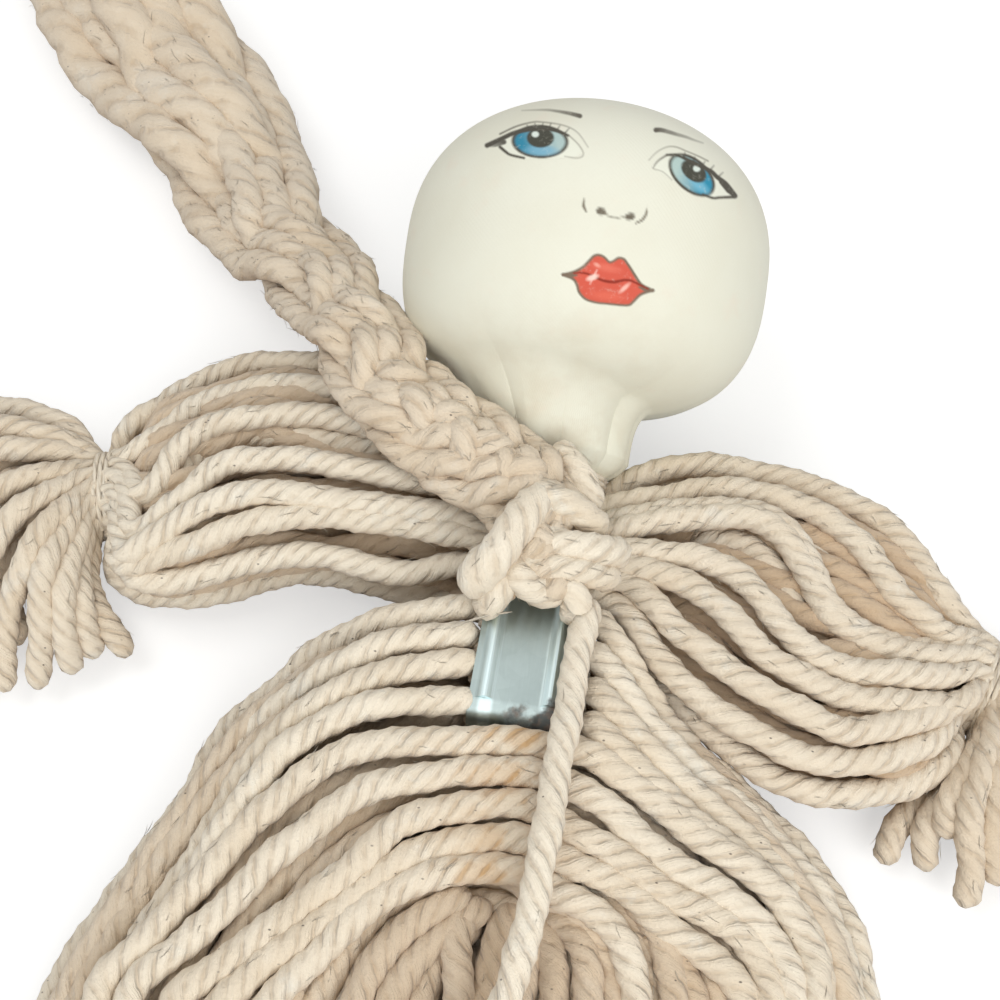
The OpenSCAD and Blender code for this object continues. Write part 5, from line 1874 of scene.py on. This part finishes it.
RIGHT_ARM_YARNS: Sequence[Strand] = (
    ((-7.4, 20.5, 15), (-44.1, 49.8, 15), (-52.1, 50.4, 13.9), (-61, 49.8, 12.8), (-68.1, 46, 12),
     (-73.6, 40.9, 11.8), (-78.7, 35, 11.7), (-82.8, 29.3, 11.5), (-80.1, 27.2, 9.9), (-83.3, 24.3, 9.7)),
    ((-7.4, 18.4, 19), (-29.8, 37.6, 19), (-40, 41.6, 18.5), (-49.7, 42.3, 18), (-58.8, 40.3, 17.6),
     (-65.7, 37, 16.8), (-71.3, 30.9, 16.1), (-75.8, 25.1, 15.3), (-79.9, 22.3, 14.5), (-79.8, 26.1, 12.2),
     (-83.1, 23.4, 11.4)),
    ((-7.4, 16.2, 21), (-21.1, 30.9, 21), (-30.4, 32.1, 21.2), (-39.8, 33.4, 21.5), (-48.9, 33.1, 21.7),
     (-57.3, 30.2, 22), (-63.5, 28.4, 20.9), (-67.6, 23.3, 19.8), (-68.8, 17.8, 18.7), (-71.3, 13, 17.6),
     (-79.2, 23.8, 13.9), (-82.6, 21.7, 12.7)),
    ((-7.4, 14.1, 22), (-15.1, 22.3, 22), (-22.9, 21.9, 22.5), (-33.6, 22.2, 23.1), (-44.3, 22.5, 23.6),
     (-52.8, 21.2, 24.2), (-58.9, 19.1, 22.7), (-62, 14.8, 21.2), (-65.9, 10.6, 19.6), (-70, 5.1, 18.1),
     (-78.4, 20.7, 14.9), (-81.9, 19.3, 13.4)),
    ((-7.4, 12, 22.4), (-13.1, 16.2, 23), (-21.7, 15.7, 23.3), (-31.9, 14.9, 23.6), (-42.5, 15.4, 24),
     (-50.9, 14.1, 24.3), (-58.5, 11.6, 22.5), (-64.2, 7.1, 20.6), (-68.1, 3.4, 18.8), (-71.4, 1.2, 16.9),
     (-77.5, 17.3, 14.9), (-81.3, 16.7, 13.4)),
    ((-7.4, 9.9, 22), (-12.7, 13.3, 22), (-21.2, 12.8, 22.1), (-31.7, 13.1, 22.2), (-40.3, 12.5, 22.4),
     (-48.4, 9.9, 22.5), (-55.8, 6.8, 20.7), (-61.6, 4.1, 18.8), (-67.5, 1.6, 16.8), (-72.4, 0.5, 14.9),
     (-76.6, 14.2, 13.9), (-80.6, 14.3, 12.7)),
    ((-7.4, 7.8, 17), (-12.4, 10.9, 17), (-18.7, 7.5, 17), (-25.4, 6.1, 16.9), (-33.6, 7.6, 16.9),
     (-41.6, 7.9, 16.8), (-49.1, 5.5, 16.3), (-56.4, 2.1, 15.2), (-63.9, -0.3, 14.2), (-70.8, -0.2, 13.1),
     (-76, 11.9, 12.2), (-80.1, 12.6, 11.4)),
    ((-7.4, 5.6, 8), (-24.6, 7.9, 8), (-33.9, 9, 7.8), (-43.1, 9.2, 7.7), (-51.3, 5.4, 7.5), (-58.5, 1.2, 7.4),
     (-65.6, 0.6, 7.3), (-72.3, 1.2, 7.1), (-77.3, 4.2, 7), (-75.7, 10.8, 9.9), (-79.9, 11.7, 9.7)),
    ((-18.3, 29.5, 17), (-28.7, 31.5, 17.5), (-37.6, 30.2, 18), (-46.9, 30.6, 18.4), (-56.1, 30.1, 17.7),
     (-63.8, 26.6, 16.8), (-66.6, 19.6, 15.9), (-69.1, 13.8, 15)),
)
LEFT_ARM_YARNS: Sequence[Strand] = (
    ((7.4, 20.5, 16), (10.1, 29.4, 16), (16.4, 33.7, 17), (25.1, 36.5, 17.5), (34, 36.3, 18), (42.9, 34.7, 18),
     (51.8, 32.8, 17.6), (58.6, 29.1, 17.2), (63.7, 24.2, 16.5), (67.3, 18.4, 15.5), (71.3, 14.2, 13.6),
     (76.9, 13.2, 9.9), (79.7, 9.9, 9.7)),
    ((7.4, 18.4, 20), (9.5, 23.9, 20), (16.9, 25.9, 20), (25.4, 29.3, 20), (34, 30.4, 20.4), (42.6, 28.7, 21),
     (49.5, 25.2, 21.2), (54.7, 20.2, 21), (59.1, 14.5, 20.2), (63.7, 10.9, 18.4), (69.3, 9.2, 16),
     (76.6, 12.3, 11.9), (79.4, 9.3, 11.2)),
    ((7.4, 16.2, 22), (9.5, 19.4, 22), (17.2, 21.2, 22), (25.5, 24.2, 22.3), (34, 25.1, 22.3), (40.9, 22.6, 22.2),
     (45, 16.2, 21.8), (47.3, 9.9, 21), (52, 6.2, 19.5), (59, 5.5, 17.5), (66.9, 6.5, 15.5), (75.8, 10.5, 13.6),
     (78.9, 7.9, 12.4)),
    ((7.4, 14.1, 22.4), (9.8, 16.4, 23), (17.3, 19.2, 23.1), (25.6, 22.1, 23.1), (33.1, 23.6, 23.2),
     (39.5, 21, 23.3), (43.5, 16.1, 22.6), (45.9, 10.9, 21.3), (50, 6.2, 20), (57.1, 4.1, 18.7), (67.2, 4.5, 17.3),
     (74.9, 8.1, 14.6), (78.1, 6, 13.2)),
    ((7.4, 12, 22.4), (10.5, 13.1, 23.5), (17.9, 13.2, 23.7), (26.1, 13.8, 23.9), (32.6, 11.2, 24.1),
     (37.2, 6.9, 24.3), (40.7, 2.3, 23.7), (44.9, -1, 22.2), (51.9, -1.7, 20.8), (60.2, -0.6, 19.4),
     (68.6, 0.8, 17.9), (73.7, 5.3, 15), (77.3, 3.9, 13.5)),
    ((7.4, 9.9, 22.4), (11.8, 10.6, 23.5), (19, 10, 23.7), (25.8, 7.6, 24), (31.4, 3.8, 24.2), (35.6, -1.1, 24.5),
     (41.1, -4.4, 22.9), (48, -6, 21.2), (56.3, -6.1, 19.4), (65.4, -4.6, 17.7), (73.9, -1.4, 16), (72.6, 2.5, 14.6),
     (76.4, 1.7, 13.2)),
    ((7.4, 7.8, 22.4), (13.7, 8.9, 22.5), (18.7, 5.2, 22.7), (24.5, -1, 23), (31.2, -5.1, 23.2), (37.1, -8.5, 23.5),
     (44.1, -11.2, 22), (52.3, -12.6, 20.3), (60.4, -8.9, 18.7), (68, -4.9, 17.1), (71.6, 0.1, 13.6),
     (75.6, -0.1, 12.4)),
    ((7.4, 5.6, 20), (12.5, 6.1, 20), (17.8, 0.4, 20.2), (23, -6.5, 20.5), (29.5, -11.2, 20.7), (36.3, -15.1, 21),
     (43.2, -16.8, 19.7), (51.3, -17.3, 18.2), (59.3, -14.1, 16.8), (66.8, -9.6, 15.4), (70.9, -1.7, 11.9),
     (75.1, -1.5, 11.2)),
    ((7.4, 3.5, 13), (14.5, 5.1, 13), (20.9, -4.2, 13.4), (27.7, -10.9, 13.7), (35.2, -15.8, 14.1),
     (42.4, -19.9, 14.5), (49.5, -20.7, 13.8), (56.8, -19.5, 13.1), (63.6, -16.3, 12.4), (70.9, -10.6, 11.7),
     (70.5, -2.6, 9.9), (74.8, -2.2, 9.7)),
    ((24.7, 20.5, 17.5), (33.2, 21.1, 18.1), (39.3, 17.4, 18.4), (42.9, 11.2, 18), (44.2, 5.6, 17.5)),
    ((7.4, 19.5, 13), (12.5, 30.6, 13.5), (18.6, 33.3, 13.5), (25.7, 35.7, 13.5), (34.7, 36.3, 13.5),
     (43.8, 35.5, 13), (52.9, 32.9, 12.5)),
    ((39.9, 28.6, 16.5), (45.7, 22.5, 16.9), (49.9, 14.9, 16.8), (55.1, 9.7, 16.5)),
)
RIGHT_HAND_YARNS: Sequence[Strand] = (
    ((-83.1, 24.3, 10), (-85.8, 24.9, 10.2), (-92.2, 30, 13), (-100.9, 32.1, 13), (-111, 31.9, 12),
     (-119.3, 26, 10), (-121.6, 12.4, 8.5), (-118.5, -2.3, 7), (-113.6, -14.7, 5)),
    ((-83, 24, 10.8), (-85.7, 24.3, 11.2), (-90.8, 24.9, 16), (-99.3, 25.6, 17),
     (-107.5, 23.6, 16), (-115.6, 17, 13), (-117.2, 5.2, 9), (-110.8, -15.2, 5)),
    ((-82.9, 23.5, 11.4), (-85.6, 23.6, 11.9), (-91.2, 21.5, 17), (-99.8, 20.1, 18), (-108.4, 16.1, 16),
     (-112.6, 6.2, 12), (-111.2, -5.8, 8), (-107.5, -16.6, 5)),
    ((-82.5, 22, 12.6), (-85.1, 21.9, 13.2), (-89, 15.9, 18), (-96.2, 11.5, 19.5), (-101.9, 4.8, 17),
     (-104, -4.9, 12), (-103, -14, 7), (-100.7, -20.4, 5)),
    ((-81.9, 20, 13.3), (-84.5, 19.6, 14), (-87.5, 12, 18.5), (-91.2, 7.1, 20), (-94.4, 0.3, 18), (-96.2, -8.1, 13),
     (-96, -15.3, 8), (-94.1, -21.2, 5)),
    ((-81.3, 17.8, 13.5), (-83.8, 17.1, 14.3), (-84.6, 8.2, 18), (-86.4, 3.3, 19.5), (-87.7, -2.6, 18),
     (-89.4, -9, 13), (-89.9, -15.3, 8), (-88.2, -20.7, 5)),
    ((-80.8, 15.7, 13.2), (-83.2, 14.6, 13.9), (-83.4, 4, 17), (-84.2, -1.8, 18.5), (-83.3, -7.7, 16),
     (-82.8, -13.2, 10), (-83, -19.1, 5)),
    ((-80.3, 13.8, 12.4), (-82.6, 12.5, 13), (-81.2, 1.1, 15), (-80.2, -5.3, 16), (-79.1, -10.8, 12),
     (-78.1, -15.4, 5)),
    ((-79.9, 12.4, 11.2), (-82.2, 10.9, 11.5), (-80.5, 0.9, 12), (-77.5, -6.2, 13), (-76, -9.7, 9), (-75, -12.1, 5)),
    ((-79.7, 11.7, 9.7), (-82, 10.1, 9.8), (-80.1, 1, 9), (-75.8, -4.8, 9), (-72.4, -8.5, 7), (-69.6, -10.8, 5)),
)
LEFT_HAND_YARNS: Sequence[Strand] = (
    ((74.6, -2.1, 9.7), (76.7, -4, 9.8), (70.9, -13.6, 6), (64.8, -17.2, 6), (62, -22.4, 6), (61.7, -27.4, 4.5)),
    ((74.8, -1.6, 11), (76.9, -3.4, 11.4), (71.8, -14.4, 8.5), (66.9, -19.4, 8.5), (66.9, -24.2, 8),
     (68.3, -27.2, 5)),
    ((75.3, -0.5, 12.1), (77.4, -2.1, 12.7), (72.1, -14.3, 13), (68.6, -18.7, 13), (70.4, -23.2, 10)),
    ((75.9, 1, 13), (78.1, -0.4, 13.7), (73.9, -14.8, 15), (71.7, -22.2, 14), (74.5, -27.1, 9), (73.7, -32, 5)),
    ((76.6, 2.8, 13.4), (78.9, 1.7, 14.2), (76.6, -16, 15), (76.1, -23.3, 12), (78.9, -28.5, 7)),
    ((77.4, 4.7, 13.5), (79.8, 3.8, 14.3), (80, -15.5, 15), (80.3, -22.3, 11), (83.1, -28.4, 6)),
    ((78.1, 6.5, 13.1), (80.7, 5.9, 13.8), (84, -13.2, 15), (84.9, -21.6, 11), (87.8, -28.4, 6)),
    ((78.7, 8.1, 12.3), (81.4, 7.7, 12.9), (88.9, -9.9, 15), (90.2, -19.1, 11), (92.6, -27.3, 6)),
    ((79.2, 9.3, 11.3), (82, 9.1, 11.7), (93.2, -2.4, 13), (96.3, -11.9, 10), (96.6, -23.8, 6)),
    ((79.5, 9.9, 10), (82.3, 9.9, 10.2), (96.4, 4.8, 10), (102.5, -4.1, 8), (102.4, -18.8, 6)),
)


def main() -> None:
    """Build the doll piece by piece."""
    logging.basicConfig(level=logging.INFO, format="%(message)s")
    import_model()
    studio = Studio()
    studio.build()
    mop_yarn = YarnFinish("mop_yarn_cream").build()
    cloth = ClothFinish("head_cloth_print").build()
    thread = YarnFinish("tie_thread_cream", plies=2.0, furrow_shade=0.4).build()
    steel = SteelFinish("clip_steel_brushed").build()

    Plait().build(mop_yarn, thread)
    LooseYarn().build(mop_yarn)
    Arm(
        side=Side.RIGHT,
        shape=((19.8, 34.9, 19.8, 4.7, 24.6), (34.2, 46.8, 34.2, 6.8, 25.6), (50.1, 52.2, 50.1, 2.5, 27.0),
               (61.6, 49.5, 61.6, -2.9, 26.7), (73.8, 43.5, 70.9, -1.8, 24.3)),
        wrist=(81.02, 18.15), slant=15.0,
        hand=((96.3, 34.1, 88.3, 0.5, 20.0), (108.3, 26.1, 88.3, -4.7, 22.7), (110.7, 5.3, 86.7, -7.9, 21.1),
              (102.7, -16.3, 73.9, -16.3, 16.7)),
        elbow=50.26, seed=1, yarns=RIGHT_ARM_YARNS, ends=RIGHT_HAND_YARNS,
    ).build(mop_yarn, thread)
    Arm(
        side=Side.LEFT,
        shape=((16.9, 33.3, 15.5, -0.8, 24.6), (28.5, 42.5, 29.2, -8.9, 25.9), (44.3, 41.9, 44.3, -20.2, 27.0),
               (55.1, 37.0, 56.5, -21.8, 26.5), (67.3, 27.9, 65.2, -18.0, 23.8)),
        wrist=(76.7, 4.11), slant=22.0,
        hand=((91.1, 15.6, 81.9, -14.0, 20.0), (100.7, 6.8, 79.9, -18.0, 22.7), (99.9, -14.0, 76.7, -22.0, 21.1),
              (90.3, -30.8, 62.3, -28.4, 16.7)),
        elbow=44.5, seed=2, yarns=LEFT_ARM_YARNS, ends=LEFT_HAND_YARNS, soil_and_shade=0.12,
    ).build(mop_yarn, thread)
    Skirt(
        right_edge=((20.3, 2.4), (32.9, -4.4), (46.2, -21), (55.3, -42.9), (63, -67.4), (67.9, -99.7), (70, -150)),
        left_edge=((16.8, -3), (30.1, -12.4), (44.8, -25.5), (54.6, -40.3), (60.9, -64.9), (65.8, -99.7), (70, -150)),
        outer_seam=((11.6, -22), (21.7, -24.9), (32.9, -32), (43.4, -44.2), (51.8, -63.6), (56, -99.7), (58.4, -150)),
        inner_seam=((4.9, -48.3), (9.1, -50.9), (12.6, -55.8), (14.7, -64.9), (15.8, -80.3), (16.4, -108.7),
                    (17.1, -150)),
        waist=(-22.5, -47.4),
        lock_tops=(24.8, 24.3, 23.7, 22.6, 21.4, 20.0, 18.0),
        row_tops=(26.2, 25.6, 24.5, 22.8, 21.4, 19.8, 18.0),
        middle_tops=(13.9, 18.7, 20.7, 20.6, 20.0, 19.0, 17.7),
        lock_yarns={Side.RIGHT: RIGHT_LOCK_YARNS, Side.LEFT: LEFT_LOCK_YARNS},
        row_yarns=ROW_YARNS, middle_yarns=MIDDLE_YARNS,
    ).build(mop_yarn)
    Chest().build(mop_yarn, steel)
    Head().build(studio, cloth, thread)


if __name__ == "__main__":
    main()
